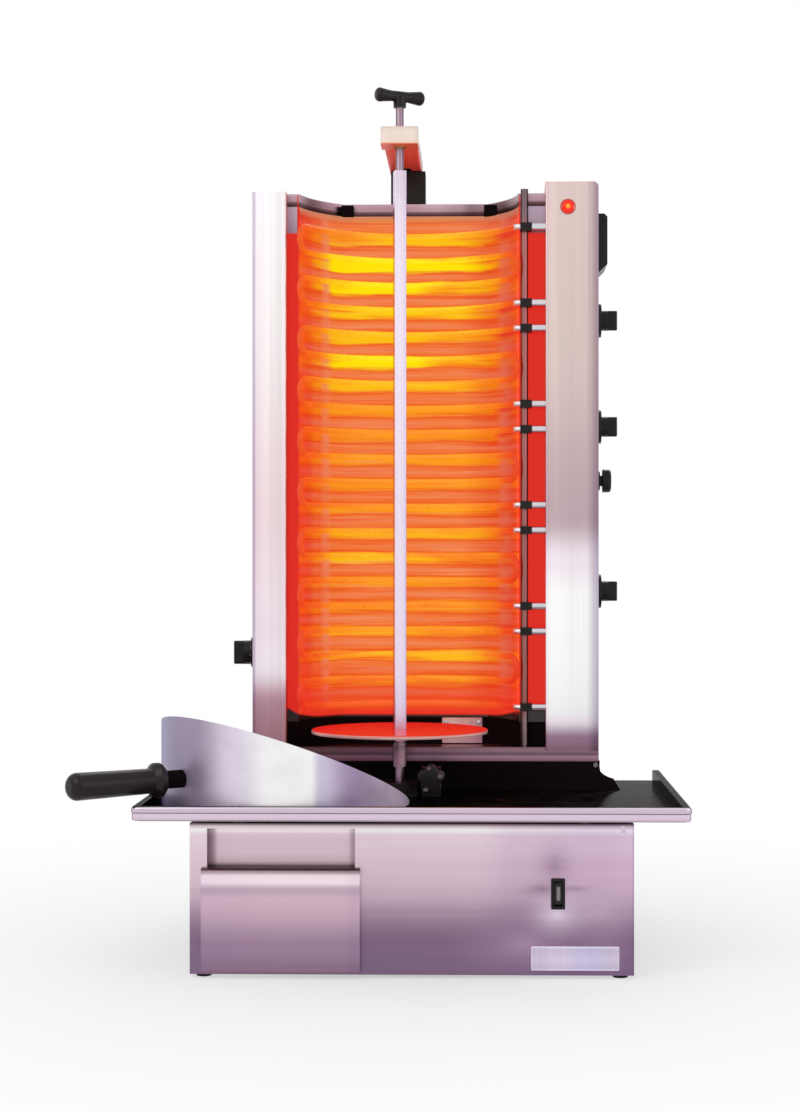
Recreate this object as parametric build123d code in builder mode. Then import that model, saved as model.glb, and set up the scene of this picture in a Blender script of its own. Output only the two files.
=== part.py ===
from build123d import *
from math import acos, asin, cos, degrees, radians, sin
import os

# Electric doner kebab grill, millimetres.
# X runs to the right, +Y away from the cook, +Z up.
# Origin: middle of the cabinet's footprint, on the worktop.

# cabinet
base_width = 512.0
base_depth = 470.0
base_top = 178.0
foot_height = 4.0
sheet = 2.0

# catch tray
tray_width = 640.0
tray_front = -265.0
tray_back = 172.0
tray_lift = 8.0
tray_depth = 14.0
tray_lip = 17.0
tray_floor = base_top + tray_lift
tray_rim = tray_floor + tray_depth
tray_lip_bottom = tray_rim - tray_lip

# grease drawer
drawer_inset = 14.0
drawer_bottom = 7.5
drawer_drop = 51.0
drawer_length = 295.0
recess_depth = 22.0

# mains switch and rating plate
switch_inset = 87.25
switch_z = 97.85
name_plate_inset = 17.0
name_plate_width = 101.3
name_plate_low = 9.8
name_plate_height = 27.6

# heater housing
column_front = 50.0
housing_depth = 146.0
left_outer = -214.4
left_width = 43.8
right_outer = 231.5
right_width = 68.2
plinth_height = 37.0
floor_depth = 13.0
housing_height = 721.0
left_below_roof = 0.5
right_over_roof = 11.7
tab_height = 51.0
skin = 1.2
housing_back = column_front + housing_depth
left_inner = left_outer + left_width
right_inner = right_outer - right_width
floor_bottom = tray_floor + plinth_height
floor_top = floor_bottom + floor_depth
roof_top = floor_top + housing_height
left_top = roof_top - left_below_roof
right_top = roof_top + right_over_roof

# heated hollow between the columns, seen from above
strip_left = 13.6
strip_right = 33.3
strip_back = 22.0
hollow_depth = 83.0
flank_left = 54.0
flank_right = 40.0
shroud_height = 36.0
hollow_left = left_inner + strip_left
hollow_right = right_inner - strip_right
hollow_front = column_front + strip_back
hollow_back = hollow_front + hollow_depth
back_left = hollow_left + flank_left
back_right = hollow_right - flank_right
reflector_bottom = floor_top + shroud_height

# heating elements
element_count = 5
first_run_drop = 45.7
last_run_rise = 19.9
tube_radius = 3.75
arc_radius = 150.0
arc_offset = 5.5
arc_clearance = 15.0
lead_inset = 15.0
lead_bend = 8.0
left_bend_gap = 25.57
right_bend_gap = 18.6
top_run = roof_top - first_run_drop
run_pitch = (top_run - reflector_bottom - last_run_rise) / (4 * element_count - 1)
arc_x = (hollow_left + hollow_right) / 2 + arc_offset
arc_y = hollow_back - arc_clearance - arc_radius
lead_y = hollow_front - lead_inset

# spit
spit_x = -22.0
spit_y = -10.0
spit_square = 15.0
spit_turn = 12.0
spit_over_roof = 14.0
plate_radius = 111.0
plate_rise = 33.0
plate_thick = 4.5
slide_front = 12.0
slide_back = 20.0
drive_half = 38.0
spit_top = roof_top + spit_over_roof
plate_top = floor_top + plate_rise

# top arm
arm_width = 43.0
arm_offset = 1.5
arm_lift = 31.2
arm_height = 21.2
head_length = 40.0
head_overhang = 20.0
handle_rise = 41.6
arm_left = spit_x + arm_offset - arm_width / 2
arm_right = arm_left + arm_width
arm_bottom = spit_top + arm_lift
head_front = spit_y - head_overhang
handle_z = arm_bottom + arm_height + handle_rise

# side controls
control_inset = 40.0
cover_drop = 39.7
cover_height = 77.0
cover_reach = 12.0
knob_drops = [58.4, 196.7, 410.8]
knob_radius = 13.0
knob_reach = 26.0
left_knob_drop = 595.5
left_knob_radius = 15.5
left_knob_reach = 28.0
button_drop = 267.2
control_y = column_front + control_inset
cover_high = right_top - cover_drop
cover_low = cover_high - cover_height
knob_heights = [cover_low - drop for drop in knob_drops]
button_z = cover_low - button_drop
left_knob_z = left_top - left_knob_drop

# scoop
scoop_x = -157.0
scoop_y = -104.0
scoop_radius = 150.0
scoop_mouth = 41.0
scoop_chord = 122.0
scoop_slope = 0.411
scoop_wall = 1.5
scoop_grip_rise = 40.0
scoop_reach = 300.0
scoop_grip_z = tray_floor + scoop_grip_rise

# clearances
gap = 0.4
fit = 0.05

# values shared by several pieces
half_width = base_width / 2
front_y = -base_depth / 2
back_y = base_depth / 2
deck_bottom = base_top - sheet
front_plane = Plane.XZ.offset(-front_y)
switch_x = half_width - switch_inset
drawer_left = drawer_inset - half_width
drawer_right = spit_x - drive_half + 1
drawer_top = base_top - drawer_drop
drawer_open_left = drawer_left + 6
drawer_open_right = drawer_right - 6
drawer_open_top = base_top - 6
drawer_open_bottom = drawer_bottom + 2.5
tube_out = 10.0
slot_width = 2 * (tube_out + 0.8)
slot_length = slide_front + slide_back + slot_width
slot_y = spit_y + (slide_back - slide_front) / 2
column_back = housing_back - sheet
run_heights = [top_run - run_pitch * i for i in range(4 * element_count)]
terminal_heights = []
for k in range(element_count):
    terminal_heights += [run_heights[4 * k], run_heights[4 * k + 3]]
rail_inset = 6.4
rail_x = hollow_right + rail_inset
rail_radius = 4.8
rail_y = lead_y + tube_radius + rail_radius + 0.2

os.makedirs("parts", exist_ok=True)


def hollow_edges(grow):
    """Outline of the heated hollow, made larger all round by grow."""
    p0 = Vector(hollow_left - grow, hollow_front)
    p1 = Vector(back_left - 0.6 * grow, hollow_back + grow)
    p2 = Vector(back_right + 0.6 * grow, hollow_back + grow)
    p3 = Vector(hollow_right + grow, hollow_front)
    c1 = p1 - p0
    c2 = p3 - p2
    m1 = (p0 + p1) * 0.5 + Vector(-c1.Y, c1.X).normalized() * 9
    m2 = (p2 + p3) * 0.5 + Vector(-c2.Y, c2.X).normalized() * 9
    ThreePointArc(p0, m1, p1)
    Line(p1, p2)
    ThreePointArc(p2, m2, p3)
    Line(p3, p0)


def box_between(x0, x1, y0, y1, z0, z1, mode=Mode.ADD):
    """A block given by its two opposite corners."""
    with Locations(((x0 + x1) / 2, (y0 + y1) / 2, (z0 + z1) / 2)):
        Box(x1 - x0, y1 - y0, z1 - z0, mode=mode)


def span(x0, x1, y0, y1, mode=Mode.ADD):
    """A rectangle given by its two opposite corners."""
    with Locations(((x0 + x1) / 2, (y0 + y1) / 2)):
        Rectangle(x1 - x0, y1 - y0, mode=mode)


def round_about(x, y, z0, z1, radius, mode=Mode.ADD):
    """An upright cylinder."""
    with Locations((x, y, z0)):
        Cylinder(radius, z1 - z0, align=(Align.CENTER, Align.CENTER, Align.MIN), mode=mode)


# Cabinet: left, back and right walls in one bent sheet, with returns at the front.
gland_x = half_width - 56
gland_z = foot_height + 56
gland_radius = 8.0
with BuildPart() as cabinet_shell:
    with BuildSketch(Plane.XY.offset(foot_height)):
        span(-half_width, half_width, front_y + sheet, back_y)
        span(-half_width + sheet, half_width - sheet, front_y + sheet, back_y - sheet, Mode.SUBTRACT)
        for side in (-1, 1):
            inner = half_width - sheet
            span(min(side * inner, side * (inner - 12)), max(side * inner, side * (inner - 12)),
                 front_y + sheet, front_y + 2 * sheet)
    extrude(amount=deck_bottom - foot_height)
    with BuildSketch(Plane(origin=(0, back_y, base_top / 2), x_dir=(-1, 0, 0), z_dir=(0, 1, 0))):
        with GridLocations(60, 14, 4, 5):
            SlotOverall(44, 5)
        with Locations((-gland_x, gland_z - base_top / 2)):
            Circle(gland_radius + fit)
    extrude(amount=-sheet, mode=Mode.SUBTRACT)
cabinet_shell.part.label = "cabinet_shell"

# Front panel with the drawer opening, the switch cut-out and a small hanging slot.
with BuildPart() as front_panel:
    with BuildSketch(front_plane):
        span(-half_width, half_width, foot_height, base_top)
        span(drawer_open_left, drawer_open_right, drawer_open_bottom, drawer_open_top, Mode.SUBTRACT)
        with Locations((switch_x, switch_z)):
            Rectangle(13.4, 31.4, mode=Mode.SUBTRACT)
        with Locations((half_width - 12, base_top - 5.5)):
            Rectangle(4, 8, mode=Mode.SUBTRACT)
    extrude(amount=-sheet)
front_panel.part.label = "front_panel"

# Bottom plate inside the bent sheet.
vent_x, vent_y = 90.0, 60.0
with BuildPart() as bottom_plate:
    with BuildSketch(Plane.XY.offset(foot_height)):
        span(-half_width + sheet, half_width - sheet, front_y + 2 * sheet, back_y - sheet)
        with GridLocations(50, 16, 4, 6):
            with Locations((vent_x, vent_y)):
                SlotOverall(36, 5, mode=Mode.SUBTRACT)
    extrude(amount=sheet)
bottom_plate.part.label = "bottom_plate"

# Four low feet near the corners and one under the middle of the plate.
with BuildPart() as feet:
    for x in (-half_width + 15, half_width - 15):
        for y in (front_y + 14, back_y - 14):
            round_about(x, y, 0, foot_height, 9)
    round_about(0, 0, 0, foot_height, 15)
    chamfer(feet.faces().filter_by(Axis.Z).group_by(Axis.Z)[0].edges(), 0.8)
feet.part.label = "feet"

# Deck over the cabinet, with two ribs that carry the tray and a slot for the spit drive.
with BuildPart() as deck_plate:
    with BuildSketch(Plane.XY.offset(deck_bottom)):
        span(-half_width, half_width, front_y + sheet, back_y)
        with Locations((spit_x, slot_y)):
            SlotOverall(slot_length, slot_width, rotation=90, mode=Mode.SUBTRACT)
    extrude(amount=sheet)
    for x in (-half_width + 56, half_width - 56):
        box_between(x - 6, x + 6, front_y + 15, tray_back - 12, base_top, tray_floor - sheet)
deck_plate.part.label = "deck_plate"

# Catch tray: flat floor, and a wall round three sides with two rolled beads, one over the other.
with BuildPart() as catch_tray:
    wall = tray_width / 2 - 7
    with BuildSketch(Plane.XY.offset(tray_floor - sheet)):
        span(-wall, wall, tray_front + 7, tray_back)
        with Locations((spit_x, slot_y)):
            SlotOverall(slot_length, slot_width, rotation=90, mode=Mode.SUBTRACT)
    extrude(amount=sheet)
    with BuildSketch(Plane.XY.offset(tray_lip_bottom)):
        span(-wall, wall, tray_front + 7, tray_back)
        span(-wall + 3, wall - 3, tray_front + 10, tray_back, Mode.SUBTRACT)
    extrude(amount=tray_rim - tray_lip_bottom)
    for grow, low, high in ((7, tray_rim - 6.6, tray_rim), (6.2, tray_lip_bottom + 1, tray_rim - 7.4)):
        with BuildSketch(Plane.XY.offset(low)) as bead:
            span(-wall - grow, wall + grow, tray_front + 7 - grow, tray_back)
            fillet(bead.vertices().group_by(Axis.Y)[0], grow + 1)
            span(-wall, wall, tray_front + 7, tray_back, Mode.SUBTRACT)
        extrude(amount=high - low)
    rim_edges = catch_tray.faces().filter_by(Axis.Z).group_by(Axis.Z)[-1].edges()
    reach = [e for e in rim_edges if e.bounding_box().min.X < -wall - 3 or e.bounding_box().max.X > wall + 3]
    outer = [e for e in reach if e.length > 9]
    fillet(outer, 2.6)
    under = catch_tray.edges().filter_by_position(Axis.Z, tray_lip_bottom + 0.9, tray_lip_bottom + 1.1)
    fillet([e for e in under if e.bounding_box().min.X < -wall - 5 or e.bounding_box().max.X > wall + 5], 2.6)
catch_tray.part.label = "catch_tray"

# Light panel set back behind the gap over the drawer.
with BuildPart() as recess_panel:
    recess_front = front_y + sheet
    recess_back = front_y + recess_depth
    low = drawer_top - 11
    left = drawer_open_left - 2
    right = drawer_open_right + 2
    box_between(left, right, recess_back, recess_back + skin, low, deck_bottom)
    box_between(left, left + skin, recess_front, recess_back, low, deck_bottom)
    box_between(right - skin, right, recess_front, recess_back, low, deck_bottom)
    box_between(left, right, recess_back, recess_back + 14, low, low + skin)
recess_panel.part.label = "recess_panel"

# Grease drawer: an open sheet box behind a hollow front with a rounded top lip.
box_left = drawer_open_left + 3
box_right = drawer_open_right - 3
box_bottom = foot_height + sheet + 7.6
box_top = drawer_top - 17
front_back_face = front_y - 0.5
front_thick = 9.0
with BuildPart() as drawer_box:
    box_between(box_left, box_right, front_back_face, front_back_face + drawer_length, box_bottom, box_top)
    box_between(box_left + 1.5, box_right - 1.5, front_back_face + 1.5,
                front_back_face + drawer_length - 1.5, box_bottom + 1.5, box_top, Mode.SUBTRACT)
drawer_box.part.label = "drawer_box"

with BuildPart() as drawer_front:
    box_between(drawer_left, drawer_right, front_back_face - front_thick, front_back_face,
                drawer_bottom, drawer_top)
    lip = drawer_front.edges().filter_by(Axis.X).group_by(Axis.Z)[-1].sort_by(Axis.Y)[0]
    fillet(lip, 7.0)
    low_edge = drawer_front.edges().filter_by(Axis.X).group_by(Axis.Z)[0].sort_by(Axis.Y)[0]
    fillet(low_edge, 2.0)
    box_between(drawer_left + 1.5, drawer_right - 1.5, front_back_face - front_thick + 1.5,
                front_back_face, box_top + 1, drawer_top - 5, Mode.SUBTRACT)
drawer_front.part.label = "drawer_front"

# Two angle runners that carry the drawer.
runner_height = 24.0
runner_width = 11.0
with BuildPart() as drawer_runners:
    runner_top = box_bottom - gap
    for x0, x1, in_x0, in_x1 in (
        (drawer_open_left - 0.5, drawer_open_left + 1,
         drawer_open_left + 1, drawer_open_left + 1 + runner_width),
        (drawer_open_right - 1, drawer_open_right + 0.5,
         drawer_open_right - 1 - runner_width, drawer_open_right - 1),
    ):
        box_between(x0, x1, front_y + 2 * sheet, front_y + drawer_length + 6,
                    foot_height + sheet, foot_height + sheet + runner_height)
        box_between(in_x0, in_x1, front_y + 2 * sheet, front_y + drawer_length + 6,
                    runner_top - 1.5, runner_top)
drawer_runners.part.label = "drawer_runners"

# Mains switch: a black bezel pushed into the front panel, and its rocker.
rocker_pivot_y = front_y + 4
with BuildPart() as rocker_bezel:
    with BuildSketch(front_plane) as flange:
        with Locations((switch_x, switch_z)):
            Rectangle(16.1, 35.7)
            fillet(flange.vertices(), 1.2)
            Rectangle(10.4, 28.6, mode=Mode.SUBTRACT)
    extrude(amount=1.5)
    with BuildSketch(front_plane):
        with Locations((switch_x, switch_z)):
            Rectangle(13.2, 31.2)
            Rectangle(10.4, 28.6, mode=Mode.SUBTRACT)
    extrude(amount=-20)
    box_between(switch_x - 6.6, switch_x + 6.6, front_y + 20, front_y + 26, switch_z - 15.6, switch_z + 15.6)
    for dx in (-2.5, 2.5):
        box_between(switch_x + dx - 0.4, switch_x + dx + 0.4, front_y + 26, front_y + 34,
                    switch_z - 3, switch_z + 3)
    with Locations(Location((switch_x, rocker_pivot_y, switch_z), (0, 90, 0))):
        Cylinder(1.25, 14, mode=Mode.SUBTRACT)
rocker_bezel.part.label = "rocker_bezel"

with BuildPart() as rocker_button:
    with BuildSketch(Plane(origin=(switch_x - 4.8, rocker_pivot_y, switch_z),
                           x_dir=(0, -cos(radians(6)), sin(radians(6))), z_dir=(1, 0, 0))):
        with BuildLine():
            Polyline((-3, 10.5), (7.5, 12.5), (6.2, 0), (7.5, -12.5), (-3, -10.5), close=True)
        make_face()
    extrude(amount=9.6)
    with Locations(Location((switch_x, rocker_pivot_y, switch_z), (0, 90, 0))):
        Cylinder(1.2, 12.6)
rocker_button.part.label = "rocker_button"

# Bare rating plate with four rivets, low on the right of the front panel.
plate_right = half_width - name_plate_inset
plate_left = plate_right - name_plate_width
plate_low = name_plate_low
plate_high = plate_low + name_plate_height
with BuildPart() as name_plate:
    with BuildSketch(front_plane) as face:
        span(plate_left, plate_right, plate_low, plate_high)
        fillet(face.vertices(), 1.5)
    extrude(amount=0.8)
name_plate.part.label = "name_plate"

with BuildPart() as plate_rivets:
    with BuildSketch(front_plane.offset(0.8)):
        with Locations(((plate_left + plate_right) / 2, (plate_low + plate_high) / 2)):
            with GridLocations(plate_right - plate_left - 8, plate_high - plate_low - 8, 2, 2):
                Circle(1.5)
    extrude(amount=0.7)
plate_rivets.part.label = "plate_rivets"

# Black plinth that lifts the heater housing off the tray; its ends flare to the floor.
flare = 28.0
with BuildPart() as plinth:
    with BuildSketch(Plane.XZ.offset(-column_front)):
        with BuildLine():
            Line((left_outer - flare, tray_floor), (right_outer + flare, tray_floor))
            ThreePointArc((right_outer + flare, tray_floor), (right_outer + 0.32 * flare, tray_floor + 11),
                          (right_outer + 1.5, floor_bottom))
            Line((right_outer + 1.5, floor_bottom), (left_outer - 1.5, floor_bottom))
            ThreePointArc((left_outer - 1.5, floor_bottom), (left_outer - 0.32 * flare, tray_floor + 11),
                          (left_outer - flare, tray_floor))
        make_face()
    extrude(amount=-(housing_back - column_front))
    with BuildSketch(Plane.XZ.offset(-column_front - 3)):
        with BuildLine():
            Polyline((left_outer - 4, tray_floor), (right_outer + 4, tray_floor),
                     (right_outer - 2, floor_bottom - 3), (left_outer + 2, floor_bottom - 3), close=True)
        make_face()
    extrude(amount=-(housing_back - column_front - 6), mode=Mode.SUBTRACT)
    box_between(left_outer, right_outer, tray_back + 2, housing_back, base_top, tray_floor)
plinth.part.label = "plinth"

# Heater floor: a folded pan under both columns, with a low front bead between them.
with BuildPart() as heater_floor:
    box_between(left_outer, right_outer, column_front, housing_back, floor_bottom, floor_top)
    box_between(left_outer + sheet, right_outer - sheet, column_front + sheet, housing_back - sheet,
                floor_bottom, floor_top - sheet, Mode.SUBTRACT)
    box_between(left_inner, right_inner, column_front, column_front + sheet, floor_top, floor_top + 5)
heater_floor.part.label = "heater_floor"

# Side columns: sheet boxes open at the back and bottom.
with BuildPart() as left_column:
    box_between(left_outer, left_inner, column_front, column_back, floor_top, left_top)
    fillet(left_column.edges().filter_by(Axis.Z).group_by(Axis.Y)[0], 1.5)
    box_between(left_outer + sheet, left_inner - sheet, column_front + sheet, column_back,
                floor_top, left_top - sheet, Mode.SUBTRACT)
    with BuildSketch(Plane(origin=(left_outer, control_y, left_knob_z), x_dir=(0, 1, 0), z_dir=(-1, 0, 0))):
        Circle(4)
    extrude(amount=-sheet, mode=Mode.SUBTRACT)
left_column.part.label = "left_column"

lamp_x = right_outer - 39.5
lamp_z = right_top - 32.7
lamp_radius = 8.0
with BuildPart() as right_column:
    box_between(right_inner, right_outer, column_front, column_back, floor_top, right_top)
    corner = right_column.edges().filter_by(Axis.Y).group_by(Axis.Z)[-1].sort_by(Axis.X)[-1]
    fillet(corner, 7)
    fillet(right_column.edges().filter_by(Axis.Z).group_by(Axis.Y)[0], 1.5)
    box_between(right_inner + sheet, right_outer - sheet, column_front + sheet, column_back,
                floor_top, right_top - 8, Mode.SUBTRACT)
    with BuildSketch(Plane(origin=(right_outer, 0, 0), x_dir=(0, 1, 0), z_dir=(1, 0, 0))):
        with Locations([(control_y, z) for z in knob_heights]):
            Circle(4)
        with Locations((control_y, button_z)):
            Circle(8)
    extrude(amount=-sheet, mode=Mode.SUBTRACT)
    with BuildSketch(Plane(origin=(right_inner, 0, 0), x_dir=(0, 1, 0), z_dir=(1, 0, 0))):
        with Locations([(lead_y, z) for z in terminal_heights]):
            Circle(tube_radius + 0.4)
    extrude(amount=sheet, mode=Mode.SUBTRACT)
    with BuildSketch(Plane.XZ.offset(-column_front)):
        with Locations((lamp_x, lamp_z)):
            Circle(lamp_radius + gap)
    extrude(amount=-sheet, mode=Mode.SUBTRACT)
right_column.part.label = "right_column"

tab_bottom = roof_top - tab_height

# Roof between the columns: concave front edge with a hanging lip, and two short front tabs.
with BuildPart() as top_hood:
    with BuildSketch(Plane.XY.offset(roof_top - sheet)):
        span(left_inner, right_inner, hollow_front, column_back)
        with BuildLine():
            hollow_edges(-1.5)
        make_face(mode=Mode.SUBTRACT)
    extrude(amount=sheet)
    with BuildSketch(Plane.XY.offset(roof_top - 16)):
        with BuildLine():
            hollow_edges(-0.1)
        make_face()
        with BuildLine():
            hollow_edges(-1.5)
        make_face(mode=Mode.SUBTRACT)
    extrude(amount=16)
    for x0, x1 in ((left_inner, hollow_left - skin - 0.2), (hollow_right + skin + 0.2, right_inner)):
        box_between(x0, x1, hollow_front, hollow_front + skin, tab_bottom, roof_top)
top_hood.part.label = "top_hood"

# Polished reflector behind the elements, with flat strips that meet the columns.
with BuildPart() as reflector:
    with BuildSketch(Plane.XY.offset(reflector_bottom)):
        with BuildLine():
            hollow_edges(skin)
        make_face()
        with BuildLine():
            hollow_edges(0)
        make_face(mode=Mode.SUBTRACT)
    extrude(amount=roof_top - sheet - reflector_bottom)
    for x0, x1 in ((left_inner, hollow_left), (hollow_right, right_inner)):
        box_between(x0, x1, hollow_front, hollow_front + skin, reflector_bottom, tab_bottom)
reflector.part.label = "reflector"

# Black sheet that closes the hollow under the reflector.
with BuildPart() as lower_shroud:
    with BuildSketch(Plane.XY.offset(floor_top)):
        with BuildLine():
            hollow_edges(skin)
        make_face()
        with BuildLine():
            hollow_edges(0)
        make_face(mode=Mode.SUBTRACT)
        span(left_inner, hollow_left, hollow_front, hollow_front + skin)
        span(hollow_right, right_inner, hollow_front, hollow_front + skin)
    extrude(amount=reflector_bottom - floor_top)
lower_shroud.part.label = "lower_shroud"

# Back panel of the housing.
with BuildPart() as rear_panel:
    with BuildSketch(Plane.XZ.offset(-column_back)) as back:
        span(left_outer, right_outer, floor_top, roof_top)
        with Locations(((left_outer + right_outer) / 2, roof_top - 60)):
            with GridLocations(60, 12, 5, 4):
                SlotOverall(46, 5, mode=Mode.SUBTRACT)
    extrude(amount=-sheet)
rear_panel.part.label = "rear_panel"


def on_arc(angle, z):
    """Point on the element arc; the angle is measured from +X."""
    return Vector(arc_x + arc_radius * cos(radians(angle)), arc_y + arc_radius * sin(radians(angle)), z)


# The bend from an arc into a straight lead starts where it ends level with the lead.
start_angle = 30.0
for _ in range(20):
    turn = radians(90 - start_angle)
    start_angle = asin((lead_y - arc_y + lead_bend * (1 - cos(turn))) / arc_radius)
    start_angle = degrees(start_angle)
right_end = degrees(acos((rail_x - right_bend_gap - arc_x) / arc_radius))
left_end = degrees(acos((left_inner + left_bend_gap - arc_x) / arc_radius))


def heating_element(z_top, name):
    """One tube: lead in, four runs joined by three return bends, lead out."""
    z = [z_top - run_pitch * i for i in range(4)]
    half = run_pitch / 2

    def lead(level):
        a = on_arc(start_angle, level)
        t = radians(90 - start_angle)
        b = a + Vector(lead_bend * sin(t), -lead_bend * (1 - cos(t)), 0)
        m = a + Vector(lead_bend * (sin(t) - sin(t / 2)), -lead_bend * (cos(t / 2) - cos(t)), 0)
        return a, m, b, Vector(right_inner + 14, b.Y, level)

    def return_bend(angle, side, upper, lower):
        a, b = on_arc(angle, upper), on_arc(angle, lower)
        out = Vector(sin(radians(angle)), -cos(radians(angle)), 0) * side
        return a, (a + b) * 0.5 + out * half, b

    with BuildPart() as tube:
        with BuildLine() as path:
            a, m, b, end = lead(z[0])
            Line(end, b)
            ThreePointArc(b, m, a)
            ThreePointArc(a, on_arc((start_angle + left_end) / 2, z[0]), on_arc(left_end, z[0]))
            ThreePointArc(*return_bend(left_end, -1, z[0], z[1]))
            ThreePointArc(on_arc(left_end, z[1]), on_arc(90, z[1]), on_arc(right_end, z[1]))
            ThreePointArc(*return_bend(right_end, 1, z[1], z[2]))
            ThreePointArc(on_arc(right_end, z[2]), on_arc(90, z[2]), on_arc(left_end, z[2]))
            ThreePointArc(*return_bend(left_end, -1, z[2], z[3]))
            a, m, b, end4 = lead(z[3])
            ThreePointArc(on_arc(left_end, z[3]), on_arc((start_angle + left_end) / 2, z[3]), a)
            ThreePointArc(a, m, b)
            Line(b, end4)
        with BuildSketch(Plane(origin=end, x_dir=(0, 1, 0), z_dir=(-1, 0, 0))):
            Circle(tube_radius)
        sweep(path=path.line)
    tube.part.label = name
    return tube.part


elements = {}
for k in range(element_count):
    name = f"heating_element_{k + 1}"
    elements[name] = heating_element(run_heights[4 * k], name)

# Bright sleeve round each cold end, from the rail to the column.
clip_left = 5.6
clip_right = 9.4
clip_half = 5.0
with BuildPart() as element_sleeves:
    for z in terminal_heights:
        with BuildSketch(Plane(origin=(right_inner, lead_y, z), x_dir=(0, 1, 0), z_dir=(-1, 0, 0))):
            Circle(tube_radius + 1)
            Circle(tube_radius + 0.1, mode=Mode.SUBTRACT)
        extrude(amount=right_inner - rail_x - clip_right - 0.6)
element_sleeves.part.label = "element_sleeves"

# Upright rail that carries the cold ends, and its dark clips.
with BuildPart() as support_rail:
    round_about(rail_x, rail_y, floor_top, roof_top + 4, rail_radius)
support_rail.part.label = "support_rail"

with BuildPart() as rail_clips:
    for z in terminal_heights:
        box_between(rail_x - clip_left, rail_x + clip_right, lead_y - tube_radius - 1.3,
                    rail_y + rail_radius + 1, z - clip_half, z + clip_half)
    for z in terminal_heights:
        round_about(rail_x, rail_y, z - 10, z + 10, rail_radius + 0.1, Mode.SUBTRACT)
        with Locations(Location((rail_x, lead_y, z), (0, 90, 0))):
            Cylinder(tube_radius + 0.1, 40, mode=Mode.SUBTRACT)
rail_clips.part.label = "rail_clips"

# Two black clips that pin the hanging lip at the ends of the flat back.
clip_width = 16.0
clip_depth = 18.0
clip_height = 14.0
with BuildPart() as corner_clips:
    with BuildSketch(Plane.XY.offset(roof_top - 17)):
        with BuildLine():
            hollow_edges(-1.6)
        make_face()
        with Locations((back_left + 5.5, hollow_back - 4), (back_right + 2.4, hollow_back - 6)):
            Rectangle(clip_width, clip_depth, mode=Mode.INTERSECT)
    extrude(amount=clip_height)
corner_clips.part.label = "corner_clips"

# Black post on the roof; its tee-shaped head guides the hollow top arm.
arm_mid = (arm_left + arm_right) / 2
with BuildPart() as arm_post:
    box_between(arm_mid - 19.5, arm_mid + 26.5, hollow_back + 1, column_back - 1, roof_top,
                arm_bottom - 0.5)
    box_between(arm_mid - 7, arm_mid + 7, hollow_back + 5, hollow_back + 35, arm_bottom - 0.5,
                arm_bottom + 3.5)
    box_between(arm_left + 3.5, arm_right - 3.5, hollow_back + 5, hollow_back + 35, arm_bottom + 3.5,
                arm_bottom + arm_height - 3.5)
arm_post.part.label = "arm_post"

# Hollow top arm with a slot underneath for the post's neck.
head_back = head_front + head_length
arm_end = hollow_back + 60
with BuildPart() as top_arm:
    box_between(arm_left, arm_right, head_back, arm_end, arm_bottom, arm_bottom + arm_height)
    fillet(top_arm.edges().filter_by(Axis.Y), 2)
    box_between(arm_left + 2.5, arm_right - 2.5, head_back + 3, arm_end, arm_bottom + 2.5,
                arm_bottom + arm_height - 2.5, Mode.SUBTRACT)
    box_between(arm_mid - 8, arm_mid + 8, hollow_back + 5 - slide_back - 1, arm_end, arm_bottom,
                arm_bottom + 2.5, Mode.SUBTRACT)
top_arm.part.label = "top_arm"

# Pale head block that holds the upper bush.
pin_radius = 5.0
with BuildPart() as arm_head:
    box_between(spit_x - 23.5, spit_x + 23.5, head_front, head_back, arm_bottom - 0.2,
                arm_bottom + arm_height + 0.2)
    fillet(arm_head.edges().filter_by(Axis.Z).group_by(Axis.Y)[0], 4)
    round_about(spit_x, spit_y, arm_bottom - 5, arm_bottom + arm_height + 5, pin_radius + 3, Mode.SUBTRACT)
arm_head.part.label = "arm_head"

with BuildPart() as upper_bush:
    round_about(spit_x, spit_y, arm_bottom - 2, arm_bottom + arm_height + 2, pin_radius + 3)
    round_about(spit_x, spit_y, arm_bottom - 5, arm_bottom + arm_height + 5, pin_radius + fit, Mode.SUBTRACT)
upper_bush.part.label = "upper_bush"

# Lock pin that drops through the bush into the top of the spit, and its cross handle.
bore_depth = 24.0
with BuildPart() as lock_pin:
    round_about(spit_x, spit_y, spit_top - bore_depth + 2, handle_z - 8, pin_radius)
    chamfer(lock_pin.edges().group_by(Axis.Z)[0], 1.2)
lock_pin.part.label = "lock_pin"

handle_turn = 28.0
with BuildPart() as t_handle:
    with BuildSketch(Plane(origin=(spit_x, spit_y, handle_z),
                           x_dir=(cos(radians(handle_turn)), sin(radians(handle_turn)), 0),
                           z_dir=(-sin(radians(handle_turn)), cos(radians(handle_turn)), 0))) as half_bar:
        with BuildLine():
            Line((-33, 0), (33, 0))
            Line((33, 0), (33, 3.5))
            ThreePointArc((33, 3.5), (31, 7.6), (26, 8.6))
            Line((26, 8.6), (12, 6.8))
            Line((12, 6.8), (-12, 6.8))
            Line((-12, 6.8), (-26, 8.6))
            ThreePointArc((-26, 8.6), (-31, 7.6), (-33, 3.5))
            Line((-33, 3.5), (-33, 0))
        make_face()
    revolve(axis=Axis((spit_x, spit_y, handle_z), (cos(radians(handle_turn)), sin(radians(handle_turn)), 0)))
    round_about(spit_x, spit_y, handle_z - 14, handle_z, 8)
    round_about(spit_x, spit_y, handle_z - 20, handle_z - 8, pin_radius, Mode.SUBTRACT)
t_handle.part.label = "t_handle"

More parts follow.
